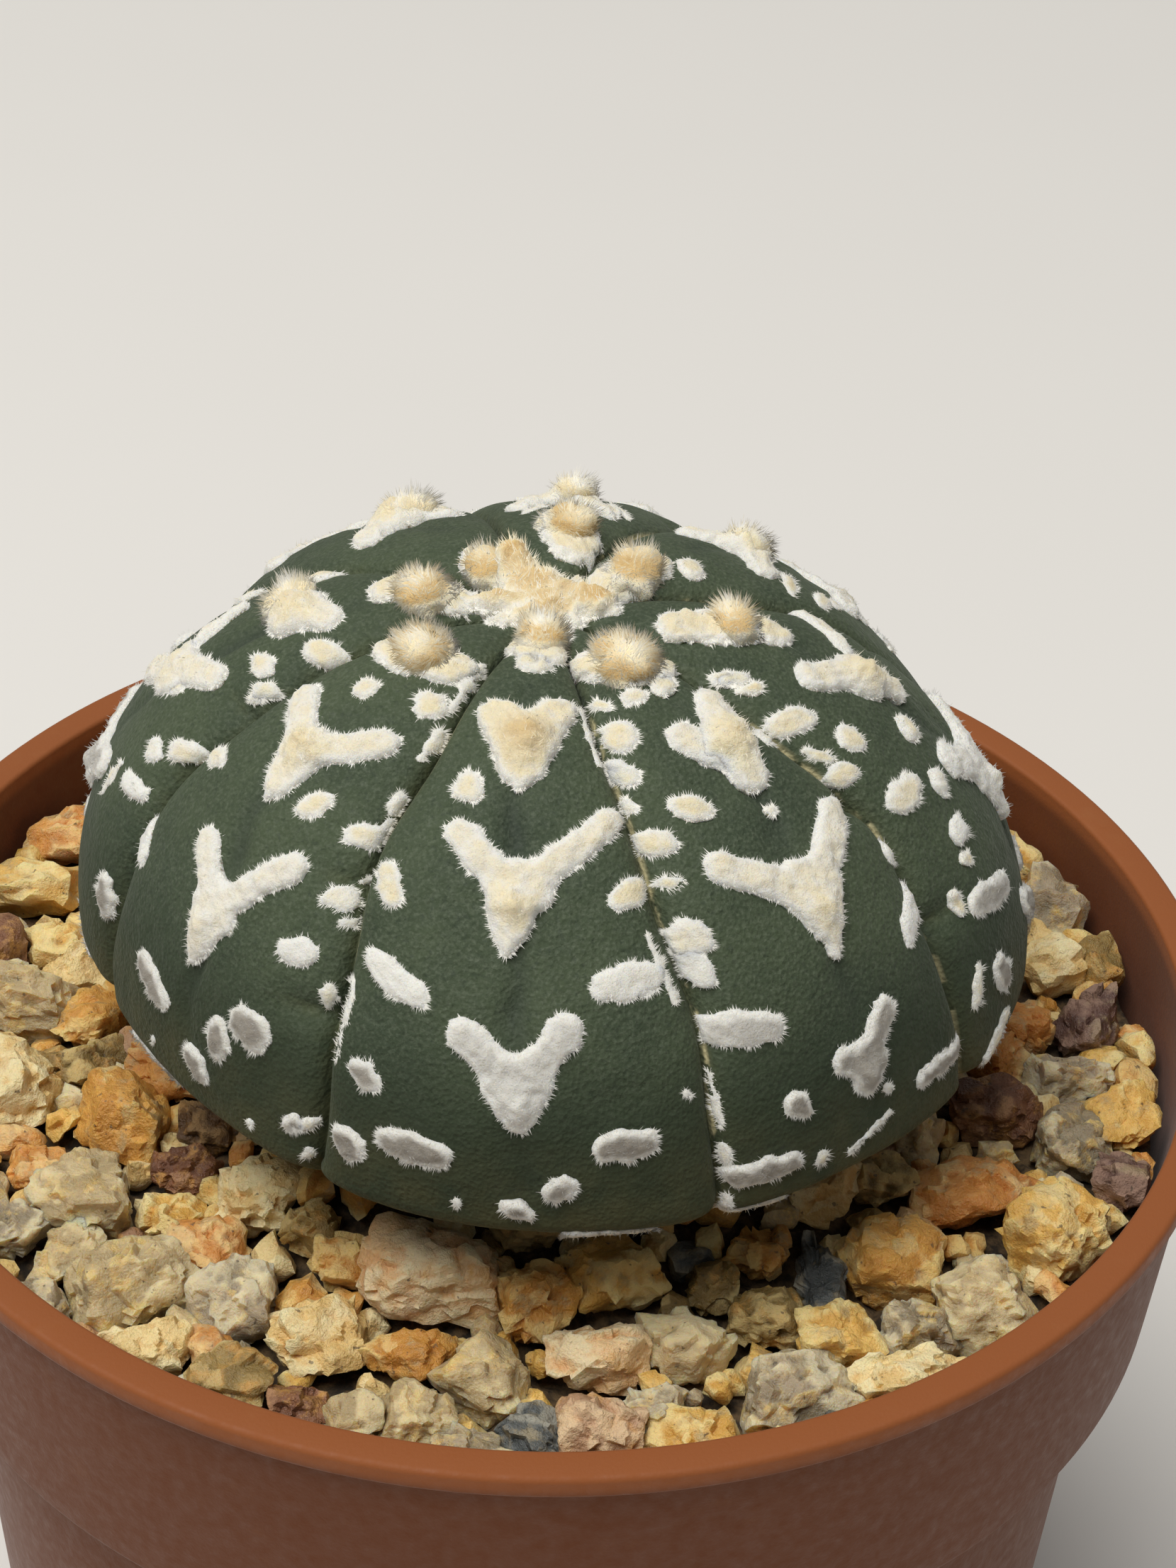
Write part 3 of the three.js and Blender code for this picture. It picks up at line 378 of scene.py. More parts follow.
# Thin strips of wool in and beside the grooves, and a few low on the ribs: rib, width and places
THIN = 0.3
STRIP_SLIM = 0.7
GROOVE_WOOL = [
    [0, 0.9, (31.5, 9.3)], [0, 0.9, (37.4, -2.9)],
    [1, 1.4, (9.5, -2.5)], [1, 1.1, (13.2, -4.2), (14.4, -4.5)], [1, 0.8, (15.4, -4.9), (16.4, -5.4)],
    [1, 1.1, (20.5, -6.7), (20.5, -5.5)], [1, 0.6, (30.9, -8.4), (33.8, -8.5)],
    [1, 0.7, (34.9, -8.6), (36.2, -8.5)], [1, 1.2, (39.0, -9.4), (38.5, -8.6)],
    [1, 0.9, (35.0, 1.8)], [1, 1.0, (18.6, 1.4)], [1, 1.1, (37.3, -3.1)],
    [1, 0.5, (37.6, -1.2), (36.5, 1.7)], [1, 1.3, (14.8, 5.2), (15.8, 5.5)],
    [1, 1.3, (23.9, 8.0), (24.6, 8.0)], [2, 1.3, (10.8, -3.7), (11.6, -3.9)],
    [2, 1.7, (12.7, -3.8)], [2, 1.2, (17.3, -6.6), (18.3, -6.6)], [2, 1.3, (27.7, -5.3)],
    [2, 1.1, (28.6, -7.7), (29.6, -7.9)], [2, 1.2, (37.5, -6.8), (38.8, -9.7)],
    [2, 1.1, (33.0, -8.6), (34.6, -9.8)], [3, 1.5, (17.0, -2.6), (16.0, -4.3)],
    [3, 1.2, (20.1, -4.1)], [3, 1.1, (23.9, -3.3)], [3, 1.2, (25.5, -5.3)],
    [4, 0.9, (15.4, -2.3), (13.7, -3.5)], [4, 0.9, (11.2, 2.3), (12.5, 1.4)],
    [6, 1.0, (17.6, 6.0), (16.9, 5.9)], [6, 0.7, (27.0, 4.7), (29.2, 4.9)],
    [6, 1.1, (21.0, 2.6), (22.0, 2.5)], [7, 0.6, (6.6, 2.2), (10.5, 3.7)],
    [7, 0.8, (12.1, 4.4), (14.0, 4.9)], [7, 0.8, (16.6, 5.7), (17.6, 6.1)],
    [7, 0.6, (18.1, 6.3), (19.3, 6.6)], [7, 1.3, (24.3, 8.2)], [7, 1.0, (27.9, 8.8), (29.1, 8.8)],
    [7, 0.8, (37.4, -3.1)], [7, 0.8, (38.6, -12.0), (38.9, -10.4)],
    [7, 0.8, (36.3, 9.0), (35.7, 9.8)], [7, 0.8, (38.0, 9.6)], [7, 0.8, (37.7, 5.7)],
    [7, 0.4, (21.9, 7.2), (21.6, 7.6)], [0, 0.5, (23.0, 7.4), (26.5, 8.6)],
    [0, 0.45, (9.6, 3.0), (13.0, 4.2)], [0, 0.4, (27.0, -9.0), (31.5, -9.8)],
    [0, 1.0, (39.5, 3.0), (39.8, 7.5)], [1, 1.0, (39.8, -9.5), (39.4, -5.5)],
    [7, 0.9, (39.2, -6.0), (39.5, -1.0)], [6, 0.9, (38.8, 1.0), (39.2, 7.0)],
]

# Smaller flecks on the far side, drawn by lot between the marks above
FLECK_SEED = 41
FLECK_TRIES = 150
FLECK_TOP = 9
FLECK_SPAN = 27
FLECK_REACH = 0.86
FLECK_WIDTH = 1.4
FLECK_SLANT = 1.6
FLECK_GAP = 1.1
NEAR_SIDE = np.array([0, -0.81, 0.58])
FAR_LIMIT = 0.02


def stops_of(places):
    between = [((a[0] + b[0]) / 2, (a[1] + b[1]) / 2) for a, b in zip(places, places[1:])]
    return np.array([*places, *between])


def add_far_flecks(marks, rib, draw):
    for _ in range(FLECK_TRIES):
        down = FLECK_TOP + FLECK_SPAN * draw()
        across = (2 * draw() - 1) * FLECK_REACH * half_width(down, rib)
        width = FLECK_WIDTH * (1 + 0.5 * draw())
        drop = (draw() - 0.5) * FLECK_SLANT
        outward = skin_frames(down, across, rib, 0.5)[1]
        if outward @ NEAR_SIDE > FAR_LIMIT:
            continue
        clear = all(
            np.hypot(*(stops_of(places) - (down, across)).T).min() > (width + wide) / 2 + FLECK_GAP
            for wide, _, *places in marks
        )
        if clear:
            marks.append([width, FLAT, (down, across), (down + drop, across + 0.5)])


fleck_draw = make_random(FLECK_SEED)
for rib_number, rib_list in enumerate(RIB_MARKS):
    add_far_flecks(rib_list, rib_number, fleck_draw)


# Meshes
def make_mesh(name, points, faces):
    """A mesh from points in mm and faces that all have the same number of corners."""
    mesh = bpy.data.meshes.new(name)
    count, corners = faces.shape
    mesh.vertices.add(len(points))
    mesh.vertices.foreach_set("co", (np.asarray(points) * MM).astype(np.float32).ravel())
    mesh.loops.add(count * corners)
    mesh.loops.foreach_set("vertex_index", faces.astype(np.int32).ravel())
    mesh.polygons.add(count)
    mesh.polygons.foreach_set("loop_start", np.arange(0, count * corners, corners, dtype=np.int32))
    mesh.polygons.foreach_set("use_smooth", np.ones(count, bool))
    mesh.update(calc_edges=True)
    mesh.validate()
    return mesh


def add_piece(mesh, material, slot, *nodes):
    piece = bpy.data.objects.new(mesh.name, mesh)
    bpy.context.scene.collection.objects.link(piece)
    mesh.materials.append(material)
    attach(piece, "root")
    if nodes:
        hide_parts(*nodes)
    return piece


def set_values(mesh, name, values):
    """A number for each corner point of a mesh, for its material to read."""
    attribute = mesh.attributes.new(name, "FLOAT", "POINT")
    attribute.data.foreach_set("value", np.asarray(values, np.float32))


class Gathered:
    """Points, triangles, named values and normals, gathered from many shapes into one mesh."""

    def __init__(self):
        self.points = []
        self.triangles = []
        self.normals = []
        self.values = {}
        self.count = 0

    def add(self, points, triangles, normals=None, **values):
        self.points.append(points)
        self.triangles.append(triangles + self.count)
        self.count += len(points)
        if normals is not None:
            self.normals.append(normals)
        for name, value in values.items():
            self.values.setdefault(name, []).append(np.broadcast_to(value, len(points)))

    def mesh(self, name):
        mesh = make_mesh(name, np.concatenate(self.points), np.concatenate(self.triangles))
        for value_name, parts in self.values.items():
            set_values(mesh, value_name, np.concatenate(parts))
        if self.normals:
            mesh.normals_split_custom_set_from_vertices(np.concatenate(self.normals).tolist())
        return mesh


def split_quads(quads):
    return np.concatenate([quads[:, [0, 1, 2]], quads[:, [0, 2, 3]]])


def ring_quads(rings, count):
    """Quads between closed rings of points, one after another."""
    ring, i = np.meshgrid(np.arange(rings - 1), np.arange(count), indexing="ij")
    here = ring * count + i
    beside = ring * count + (i + 1) % count
    return np.stack([here, beside, beside + count, here + count], axis=-1).reshape(-1, 4)


def ring_triangles(rings, count):
    """A closed body through rings of points, then its start point and its end point."""
    i = np.arange(count)
    start = rings * count
    last = (rings - 1) * count
    caps = [
        np.stack([np.full(count, start), (i + 1) % count, i], axis=-1),
        np.stack([np.full(count, start + 1), last + i, last + (i + 1) % count], axis=-1),
    ]
    return np.concatenate([split_quads(ring_quads(rings, count)), *caps])


# Mesh of the skin
SKIN_ROW = 0.32
SKIN_COLUMNS = 56
FINE_ROWS_END = 43
NECK_Z = WIDEST_Z - DROP + 0.4
SEAM_PLACE = 0.16
SEAM_WIDTH = 0.08
SEAM_START = (6, 9)
EDGE_TINT_WIDTH = 0.35
# Where the skin turns darker low down, a painted shade, and olive-brown, its own colour
LOW_SHADE_AND_BROWN = (24, 42)
NECK_ROWS = 26
ROOT_LEVELS = [33, 40, 50]


def root_radius(z):
    part = (z - ROOT_END_Z) / (NECK_Z - ROOT_END_Z)
    return ROOT_TIP_RADIUS + (NECK_RADIUS - ROOT_TIP_RADIUS) * part ** 0.6


def window(value, rise_from, rise_to, fall_from, fall_to):
    """From 0 up to 1 and down to 0 again."""
    return smooth_step(rise_from, rise_to, value) * (1 - smooth_step(fall_from, fall_to, value))


def furrow(down, across, rib):
    """Shallow furrows that run down from the points of the V marks, and down to them."""
    depth = np.zeros(np.shape(down))
    for wide, high, *places in RIB_MARKS[rib]:
        if len(places) == 3 and high == PAD:
            past = down - places[1][0]
            side = across - places[1][1] - 0.25 * np.sin(1.1 * down)
            depth += window(past, *FURROW_BELOW) * np.exp(-((side / FURROW_WIDTH) ** 2))
            depth += 0.6 * window(past, *FURROW_ABOVE) * np.exp(-((side / (1.3 * FURROW_WIDTH)) ** 2))
    return depth


def skin_mesh():
    s = np.linspace(-1, 1, SKIN_COLUMNS, endpoint=False)
    u = np.tile(s * (1.4 - 0.4 * s * s), RIBS)
    rib = np.repeat(np.arange(RIBS), SKIN_COLUMNS)
    fine = np.arange(0.25, FINE_ROWS_END, SKIN_ROW)
    coarse = np.linspace(FINE_ROWS_END, ARC[-1] - 0.2, NECK_ROWS)
    down = np.concatenate([fine, coarse])[::-1]
    grid_down, grid_u = np.meshgrid(down, u, indexing="ij")
    grid_rib = np.broadcast_to(rib, grid_down.shape)
    points = skin(grid_down, grid_rib, grid_u)
    furrows = np.zeros(points.shape[:2])
    for number in range(RIBS):
        own = rib == number
        across = grid_u[:, own] * half_width(grid_down[:, own], number)
        furrows[:, own] = furrow(grid_down[:, own], across, number)
    out = unit(points - np.array([*AXIS, WIDEST_Z - 6]))
    flat = points.reshape(-1, 3)
    swell = SWELL * lattice_noise(flat, SWELL_SIZE, 3) + RIPPLE * lattice_noise(flat, RIPPLE_SIZE, 5)
    swell = swell.reshape(points.shape[:2]) * smooth_step(2, 6, grid_down)
    points = points + out * (swell - FURROW_DEPTH * furrows)[..., None]
    turns = np.arctan2(points[0, :, 1] - AXIS[1], points[0, :, 0] - AXIS[0])
    levels = [ROOT_END_Z, *ROOT_LEVELS, SOIL_TOP]
    root = np.stack([level_ring(AXIS, root_radius(z), turns, z) for z in levels])
    rings = np.concatenate([root, points])
    tip = np.array([[*AXIS, ROOT_TIP_Z]])
    crown = skin(np.array([0.001]), 0, 0.0)
    body = np.concatenate([rings.reshape(-1, 3), tip, crown])
    mesh = make_mesh("cactus_skin", body, ring_triangles(len(rings), rings.shape[1]))
    inward = (1 - np.abs(grid_u)) * np.maximum(half_width(grid_down, grid_rib), 1)
    edge = np.exp(-inward / EDGE_TINT_WIDTH)
    edge = np.maximum(edge, np.minimum(fold_depth(grid_rib, grid_u, grid_down, 0.3) / FOLD_DEPTH, 1))
    seam = np.exp(-(((inward - SEAM_PLACE) / SEAM_WIDTH) ** 2)) * (grid_u < 0)
    seam = seam * smooth_step(*SEAM_START, grid_down)
    # How far down the skin is, for its painted shade and its olive-brown
    low = smooth_step(*LOW_SHADE_AND_BROWN, grid_down)
    root_values = np.zeros((len(root), len(u)))
    on_skin = {"edge": edge, "seam": seam, "furrow": furrows, "low": low}
    on_root = {"edge": 0, "seam": 0, "furrow": 0, "low": 1}
    for name, value in on_skin.items():
        grid = np.concatenate([root_values + on_root[name], value])
        set_values(mesh, name, np.append(grid.ravel(), [on_root[name], 0]))
    return mesh


# Wool marks. A mark is a set of strokes of changing width, joined smoothly, with a ragged outline.
MARK_STEP = 0.16
MARK_ROUND = 0.4
MARK_ROOT = 0.4
MARK_SLIM = 0.96
MARK_RISE = 0.75
STROKE_BLEND = 6.0
OUTLINE_ROUGHNESS = [(0.1, 0.8), (0.1, 0.35)]
LUMPS = [(0.22, 0.7), (0.22, 0.32)]
HAIR_WIDTH = 0.02
HAIR_ROUND = 0.7
INNER_HAIRS = 13
INNER_LENGTHS = (0.2, 0.42)
INNER_SINK = 0.04
RIM_HAIRS = 29
RIM_LENGTHS = (0.12, 0.34)

# How strongly a hair follows the way out of the skin, chance, its lock and the way to the rim
INNER_WAY = SimpleNamespace(up=0.45, chance=0.4, lock=0.9, rim=0.8)
RIM_WAY = SimpleNamespace(up=0.3, chance=0.3, lock=0.6, rim=1.1)
INNER_LOCKS = (0.5, 61)
RIM_LOCKS = (0.35, 71)


# Marks of three places: the hearts near the crown, and the Vs below them, the upper ones with a long
# point. For each, where its strokes join and its areole lies, from its point towards its ends, and its
# widths at the joint and at the point
HEART_TOP = 16
LONG_POINT_TOP = 26
HEART = SimpleNamespace(joint=0.45, areole=0.5, wide=1.7, narrow=1.1)
VEE = SimpleNamespace(joint=0.3, areole=0.12, wide=2.15, narrow=1.3)


def strokes_of(width, places):
    """Strokes of a mark, each with its start, end and two widths, and the bumps on it."""
    places = [np.array(place, float) for place in places]
    if len(places) == 1:
        aside = 0.15 * width * np.array([math.cos(9 * places[0][0]), math.sin(9 * places[0][0])])
        return [(places[0] - aside, places[0] + aside, 0.95 * width, 0.85 * width)], []
    if len(places) == 2:
        middle = (places[0] + places[1]) / 2
        end_width = width * min(0.9, 0.6 + 0.12 * np.hypot(*(places[1] - places[0])))
        return [(places[0], middle, end_width, width), (middle, places[1], width, end_width)], []
    high = (places[0] + places[2]) / 2
    top = places[0][0]
    early = top < HEART_TOP
    kind = HEART if early else VEE
    late = float(smooth_step(14, 24, top))
    joint = places[1] + kind.joint * (high - places[1])
    point = 0.45 if early else 1.0 if top < LONG_POINT_TOP else 0.5
    tip = places[1] + point * width * unit(places[1] - high)
    areole = places[1] + kind.areole * (high - places[1])
    return [
        (places[0], joint, 1.1 * width, 1.05 * width),
        (places[2], joint, 1.1 * width, 1.05 * width),
        (joint, places[1], kind.wide * width, kind.narrow * width),
        (places[1], tip, kind.narrow * width, 0.35 * width),
    ], [(areole, (0.55 - 0.1 * late) * width, 0.95 - 0.55 * late, 0.8 - 0.6 * late)]


def stroke_distance(points, strokes):
    """Distance to the outline of joined strokes, below zero inside."""
    total = np.zeros(len(points))
    for start, end, wide, narrow in strokes:
        line = end - start
        part = np.clip((points - start) @ line / max(line @ line, 1e-9), 0, 1)
        reach = MARK_SLIM * (wide + (narrow - wide) * part) / 2
        away = np.hypot(*(points - start - part[:, None] * line).T) - reach
        total += np.exp(-STROKE_BLEND * away)
    return -np.log(np.maximum(total, 1e-12)) / STROKE_BLEND


def boundary_of(quads, count):
    """Edges that only one of the quads has, each in that quad's own direction."""
    edges = np.concatenate([quads[:, [k, (k + 1) % 4]] for k in range(4)])
    keys = np.sort(edges, axis=1) @ np.array([count, 1])
    _, first, counts = np.unique(keys, return_index=True, return_counts=True)
    return edges[first[counts == 1]]


def mark_shape(strokes, bumps, height, frames, seed, ragged=1.0, room=None, root=MARK_ROOT):
    """One mark as a closed mesh, with what its hairs and its colour need.

    frames gives the ground under flat places, and room how far aside of zero a mark may reach there.
    """
    ends = np.array([point for stroke in strokes for point in stroke[:2]])
    margin = max(stroke[2] for stroke in strokes) / 2 + 0.7
    low = ends.min(0) - margin
    high = ends.max(0) + margin
    first, second = np.meshgrid(
        np.arange(low[0], high[0], MARK_STEP), np.arange(low[1], high[1], MARK_STEP), indexing="ij",
    )
    flat = np.stack([first.ravel(), second.ravel()], axis=-1)
    away = stroke_distance(flat, strokes)
    away += ragged * relief(flat, OUTLINE_ROUGHNESS, seed)
    if room is not None:
        away = np.maximum(away, np.abs(flat[:, 1]) - room(np.maximum(flat[:, 0], 0.3)))
        away = np.maximum(away, 0.3 - flat[:, 0])
    away = away.reshape(first.shape)
    inside = away < 0
    cells = inside[:-1, :-1] | inside[1:, :-1] | inside[:-1, 1:] | inside[1:, 1:]
    if not cells.any():
        return None
    slope = np.stack(np.gradient(away, MARK_STEP), axis=-1)
    steep = np.maximum(np.hypot(slope[..., 0], slope[..., 1]), 0.4)[..., None]
    place = flat.reshape(*first.shape, 2) - np.where(away > 0, away, 0)[..., None] * slope / steep ** 2
    i, j = np.nonzero(cells)
    corner = i * first.shape[1] + j
    quads = np.stack([corner, corner + first.shape[1], corner + first.shape[1] + 1, corner + 1], axis=-1)
    used, quads = np.unique(quads, return_inverse=True)
    quads = quads.reshape(-1, 4)
    place = place.reshape(-1, 2)[used]
    depth = np.maximum(-away.ravel()[used], 0)
    ground, up, onward, aside = frames(place)
    dome = np.sqrt(1 - (1 - np.clip(depth / MARK_ROUND, 0, 1)) ** 2)
    lumps = 1 + relief(place, LUMPS, seed + 2)
    lift = height * dome * (0.75 + 0.25 * np.clip(depth / 1.0, 0, 1)) * lumps
    core = np.zeros(len(place))
    for centre, reach, rise, tan in bumps:
        near = np.exp(-((np.hypot(*(place - centre).T) / reach) ** 2))
        lift += rise * near * dome * (0.7 + 0.3 * lumps)
        core = np.maximum(core, tan * near)
    top = ground + up * lift[:, None]
    rim = boundary_of(quads, len(used))
    rim_points, rim_index = np.unique(rim, return_inverse=True)
    rim_index = rim_index.reshape(-1, 2) + len(used)
    bottom = ground[rim_points] - up[rim_points] * root
    centre = (ground.mean(0) - up.mean(0) * 2 * root)[None]
    hub = np.full(len(rim), len(used) + len(rim_points))
    walls = np.concatenate([
        np.stack([rim[:, 1], rim[:, 0], rim_index[:, 0]], axis=-1),
        np.stack([rim[:, 1], rim_index[:, 0], rim_index[:, 1]], axis=-1),
        np.stack([rim_index[:, 1], rim_index[:, 0], hub], axis=-1),
    ])
    fall = slope.reshape(-1, 2)[used]
    return SimpleNamespace(
        points=np.concatenate([top, bottom, centre]), triangles=np.concatenate([split_quads(quads), walls]),
        depth=depth, top=top, up=up, spread=unit(onward * fall[:, :1] + aside * fall[:, 1:]),
        quads=quads, core=core,
    )


def add_mark(shape, pads, cream):
    """A mark in the gathered mesh, creamier away from its rim and on its bumps."""
    below = len(shape.points) - len(shape.depth)
    inner = np.append(smooth_step(0.12, 0.6, shape.depth), np.zeros(below))
    core = np.append(shape.core, np.zeros(below))
    tone = np.clip(cream * (0.2 + 0.8 * inner) + 0.5 * core, -1, 1.2)
    pads.add(shape.points, shape.triangles, cream=tone)


def add_hairs(hairs, rng, base, direction, length, tone, facing, thickest=1.9):
    """Closed three-sided spikes, shaded partly like the wool that they stand on."""
    direction = unit(direction)
    width = HAIR_WIDTH * rng.uniform(0.7, thickest, (len(base), 1))
    helper = np.where(np.abs(direction[:, 2:]) < 0.9, [[0.0, 0, 1]], [[1.0, 0, 0]])
    side = unit(np.cross(direction, helper))
    other = np.cross(direction, side)
    turns = [0, 2 * math.pi / 3, 4 * math.pi / 3]
    around = [math.cos(turn) * side + math.sin(turn) * other for turn in turns]
    tip = base + direction * length[:, None]
    points = np.stack([*(base + width * way for way in around), tip], axis=1)
    normals = np.stack([*(facing + HAIR_ROUND * way for way in around), facing + 0.4 * direction], axis=1)
    pattern = np.array([[0, 2, 1], [0, 1, 3], [1, 2, 3], [2, 0, 3]])
    triangles = (4 * np.arange(len(base))[:, None, None] + pattern).reshape(-1, 3)
    hairs.add(points.reshape(-1, 3), triangles, unit(normals.reshape(-1, 3)), cream=np.repeat(tone, 4))


def locks_at(places, size, seed):
    """Directions that stray together over patches of the given size, as hair in locks does."""
    return np.stack([lattice_noise(places, size, seed + k) for k in range(3)], axis=-1)


def grow_on_mark(shape, hairs, rng, cream, density, long=1.0):
    """Short lying hairs over a mark, and a fringe along its edge."""
    area = len(shape.quads) * MARK_STEP ** 2
    count = int(area * INNER_HAIRS * density)
    pick = shape.quads[rng.integers(0, len(shape.quads), count)]
    share = rng.dirichlet(np.ones(4), count)[..., None]
    base = (shape.top[pick] * share).sum(1)
    normal = unit((shape.up[pick] * share).sum(1))
    deep = (shape.depth[pick] * share[..., 0]).sum(1)
    middle = (shape.core[pick] * share[..., 0]).sum(1)
    swirl = unit(rng.normal(size=(count, 3)))
    lean = unit((shape.spread[pick] * share).sum(1)) * np.exp(-deep / 0.4)[:, None]
    way = INNER_WAY
    direction = (way.up + middle)[:, None] * normal + way.chance * swirl
    direction += way.lock * locks_at(base, *INNER_LOCKS) + way.rim * lean
    length = long * rng.uniform(*INNER_LENGTHS, count) * (1 + 0.9 * middle)
    tone = cream * rng.uniform(0.5, 1.1, count) * (1 - 0.8 * np.exp(-deep / 0.3)) + 0.3 * middle
    add_hairs(hairs, rng, base - INNER_SINK * normal, direction, length, np.clip(tone, -1, 1.2), normal)
    rim = np.nonzero(shape.depth <= 0.02)[0]
    if len(rim) == 0:
        return
    count = int(len(rim) * MARK_STEP * RIM_HAIRS * density)
    pick = rim[rng.integers(0, len(rim), count)]
    swirl = unit(rng.normal(size=(count, 3)))
    spread = shape.spread[pick]
    up = shape.up[pick]
    base = shape.top[pick] + 0.08 * swirl + 0.08 * up - 0.14 * spread
    way = RIM_WAY
    direction = way.rim * spread + way.up * up + way.chance * swirl + way.lock * locks_at(base, *RIM_LOCKS)
    length = long * rng.uniform(*RIM_LENGTHS, count) * (1 + 0.8 * lattice_noise(base, 0.4, 9))
    add_hairs(hairs, rng, base, direction, length, 0.2 * cream * rng.uniform(0, 1, count), up)


TUFT_ROWS = 17
TUFT_SIDES = 32
TUFT_LEAN = 0.28
TUFT_SPREAD = 1.2
TUFT_FOOT = 0.3
TUFT_LIFT = 0.25
TUFT_LUMPS = [(0.36, 1.2), (0.16, 0.5)]
TUFT_HAIRS = 62
TUFT_LENGTHS = (0.25, 0.75)
TUFT_THICKEST = 2.6
TUFT_LOCKS = (0.6, 21)

# How pale the top of each rib's innermost tuft is, and of the tufts further out
PALE_TOPS = [0.95, 0.7, 0.85, 0.4, 0.6, 0.5, 0.5, 0.65]
PALE_OUTER = 0.75


def tuft_shape(down, across, rib, width, height, seed):
    """A felted mound that stands on an areole and leans a little."""
    rng = np.random.default_rng(seed)
    ground, up, downward, sideways = (part[0] for part in skin_frames(np.array([down]), across, rib))
    way = rng.uniform(0, 2 * math.pi)
    lean = TUFT_LEAN * (math.cos(way) * downward + math.sin(way) * sideways)
    up = unit(up + TUFT_LIFT * np.array([0, 0, 1]) + lean)
    part = np.linspace(0, 1, TUFT_ROWS)
    level = height * part - MARK_ROOT
    climb = np.clip((level - TUFT_FOOT) / (height - MARK_ROOT - TUFT_FOOT), 0, 1)
    reach = width / 2 * (1 - climb ** 1.9) ** 0.6
    turn = turns_around(TUFT_SIDES)
    ring = np.cos(turn)[:, None] * downward - np.sin(turn)[:, None] * sideways
    points = ground + up * level[:, None, None] + ring * reach[:, None, None]
    points = points[:-1].reshape(-1, 3)
    ends = np.stack([ground - up * MARK_ROOT, ground + up * (height - MARK_ROOT)])
    points = np.concatenate([points, ends])
    points += unit(points - ground) * relief(points, TUFT_LUMPS, seed)[:, None]
    return points, ring_triangles(TUFT_ROWS - 1, TUFT_SIDES), ground, up


def tuft_tone(rise, tan, pale):
    """Cream at the foot of a tuft, tan above it and paler towards its top."""
    body = tan * (1.2 - (0.1 + 0.75 * pale) * smooth_step(0.5, 0.95, rise))
    return np.clip(0.45 + (body - 0.45) * smooth_step(0.16, 0.4, rise), 0.2, 1.25)


def add_tuft(tufts, hairs, rng, place, rib, width, height, seed, density):
    down = place[0]
    first = down < 13
    tan = 1 - 0.35 * float(smooth_step(9, 15, down))
    pale = PALE_TOPS[rib] if first else PALE_OUTER
    width = TUFT_SPREAD * width
    points, triangles, ground, up = tuft_shape(down, place[1], rib, width, height, seed)
    tufts.add(points, triangles, cream=tuft_tone((points - ground) @ up / height, tan, pale))
    count = int(TUFT_HAIRS * math.pi * width * (height + width / 4) * density)
    pick = triangles[rng.integers(0, len(triangles), count)]
    share = rng.dirichlet(np.ones(3), count)[..., None]
    base = (points[pick] * share).sum(1)
    rise = (base - ground) @ up / height
    facing = unit(base - ground - up * (0.3 * height))
    swirl = unit(rng.normal(size=(count, 3)))
    upward = (0.1 + 0.6 * np.clip(rise, 0, 1))[:, None] * up
    direction = upward + 0.9 * facing + 0.35 * swirl + 0.9 * locks_at(base, *TUFT_LOCKS)
    length = rng.uniform(*TUFT_LENGTHS, count) * (0.8 + (0.3 + 0.6 * pale) * np.clip(rise, 0, 1))
    tone = tuft_tone(rise, tan, pale) * (0.68 + 0.22 * lattice_noise(base, 0.3, 25))
    tone += rng.normal(0, 0.12, count)
    tone = np.clip(tone, 0.05, 1.25)
    add_hairs(hairs, rng, base - 0.05 * facing, direction, length, tone, facing, TUFT_THICKEST)


def wool_tone(height, top):
    """How cream a mark's middle is, from its kind and its distance down from the crown.

    Below zero stands for painted shade: the wool low on the ribs made greyer, where less light reaches it.
    """
    if top < 12:
        return 0.65
    tone = 0.65 if height <= FLAT else 0.42
    return tone * (1 - 0.9 * float(smooth_step(19, 30, top))) - 0.9 * float(smooth_step(22, 34, top))


HAIR_SEED = 5
MARK_SEED = 20
MARK_SEED_STEP = 7
STRIP_CREAM = 0.9

# Pads that start nearer the crown than this have a more ragged outline
RAGGED_TOP = 9.5
RAGGED = 1.9

# The ribs whose marks' hairs share a piece, and how dense these hairs are
HAIR_PIECES = {"front": ((7, 0, 1), 1.0), "sides": ((2, 6), 0.85), "back": ((3, 4, 5), 0.5)}


def wool_meshes():
    """All wool marks, the tufts on the upper areoles, and their hairs."""
    rng = np.random.default_rng(HAIR_SEED)
    pads = Gathered()
    tufts = Gathered()
    tuft_hairs = Gathered()
    mark_hairs = {}
    seed = MARK_SEED
    for group, (ribs, density) in HAIR_PIECES.items():
        mark_hairs[group] = Gathered()
        for rib in ribs:
            strips = [
                [STRIP_SLIM * width, THIN, *places] for own, width, *places in GROOVE_WOOL if own == rib
            ]
            for width, height, *places in [*RIB_MARKS[rib], *strips]:
                seed += MARK_SEED_STEP
                if height > 1:
                    add_tuft(tufts, tuft_hairs, rng, places[0], rib, width, height, seed, density)
                    continue
                top = min(place[0] for place in places)
                ragged = RAGGED if height == PAD and top < RAGGED_TOP else 1
                strokes, bumps = strokes_of(width, places)
                shape = mark_shape(
                    strokes, bumps, MARK_RISE * height, lambda place: skin_frames(*place.T, rib), seed,
                    ragged, lambda down: EDGE_LIMIT * half_width(down, rib),
                )
                if shape is None:
                    continue
                cream = wool_tone(height, top) if height > THIN else STRIP_CREAM
                add_mark(shape, pads, cream)
                grow_on_mark(shape, mark_hairs[group], rng, cream, density)
    return pads, tufts, tuft_hairs, mark_hairs


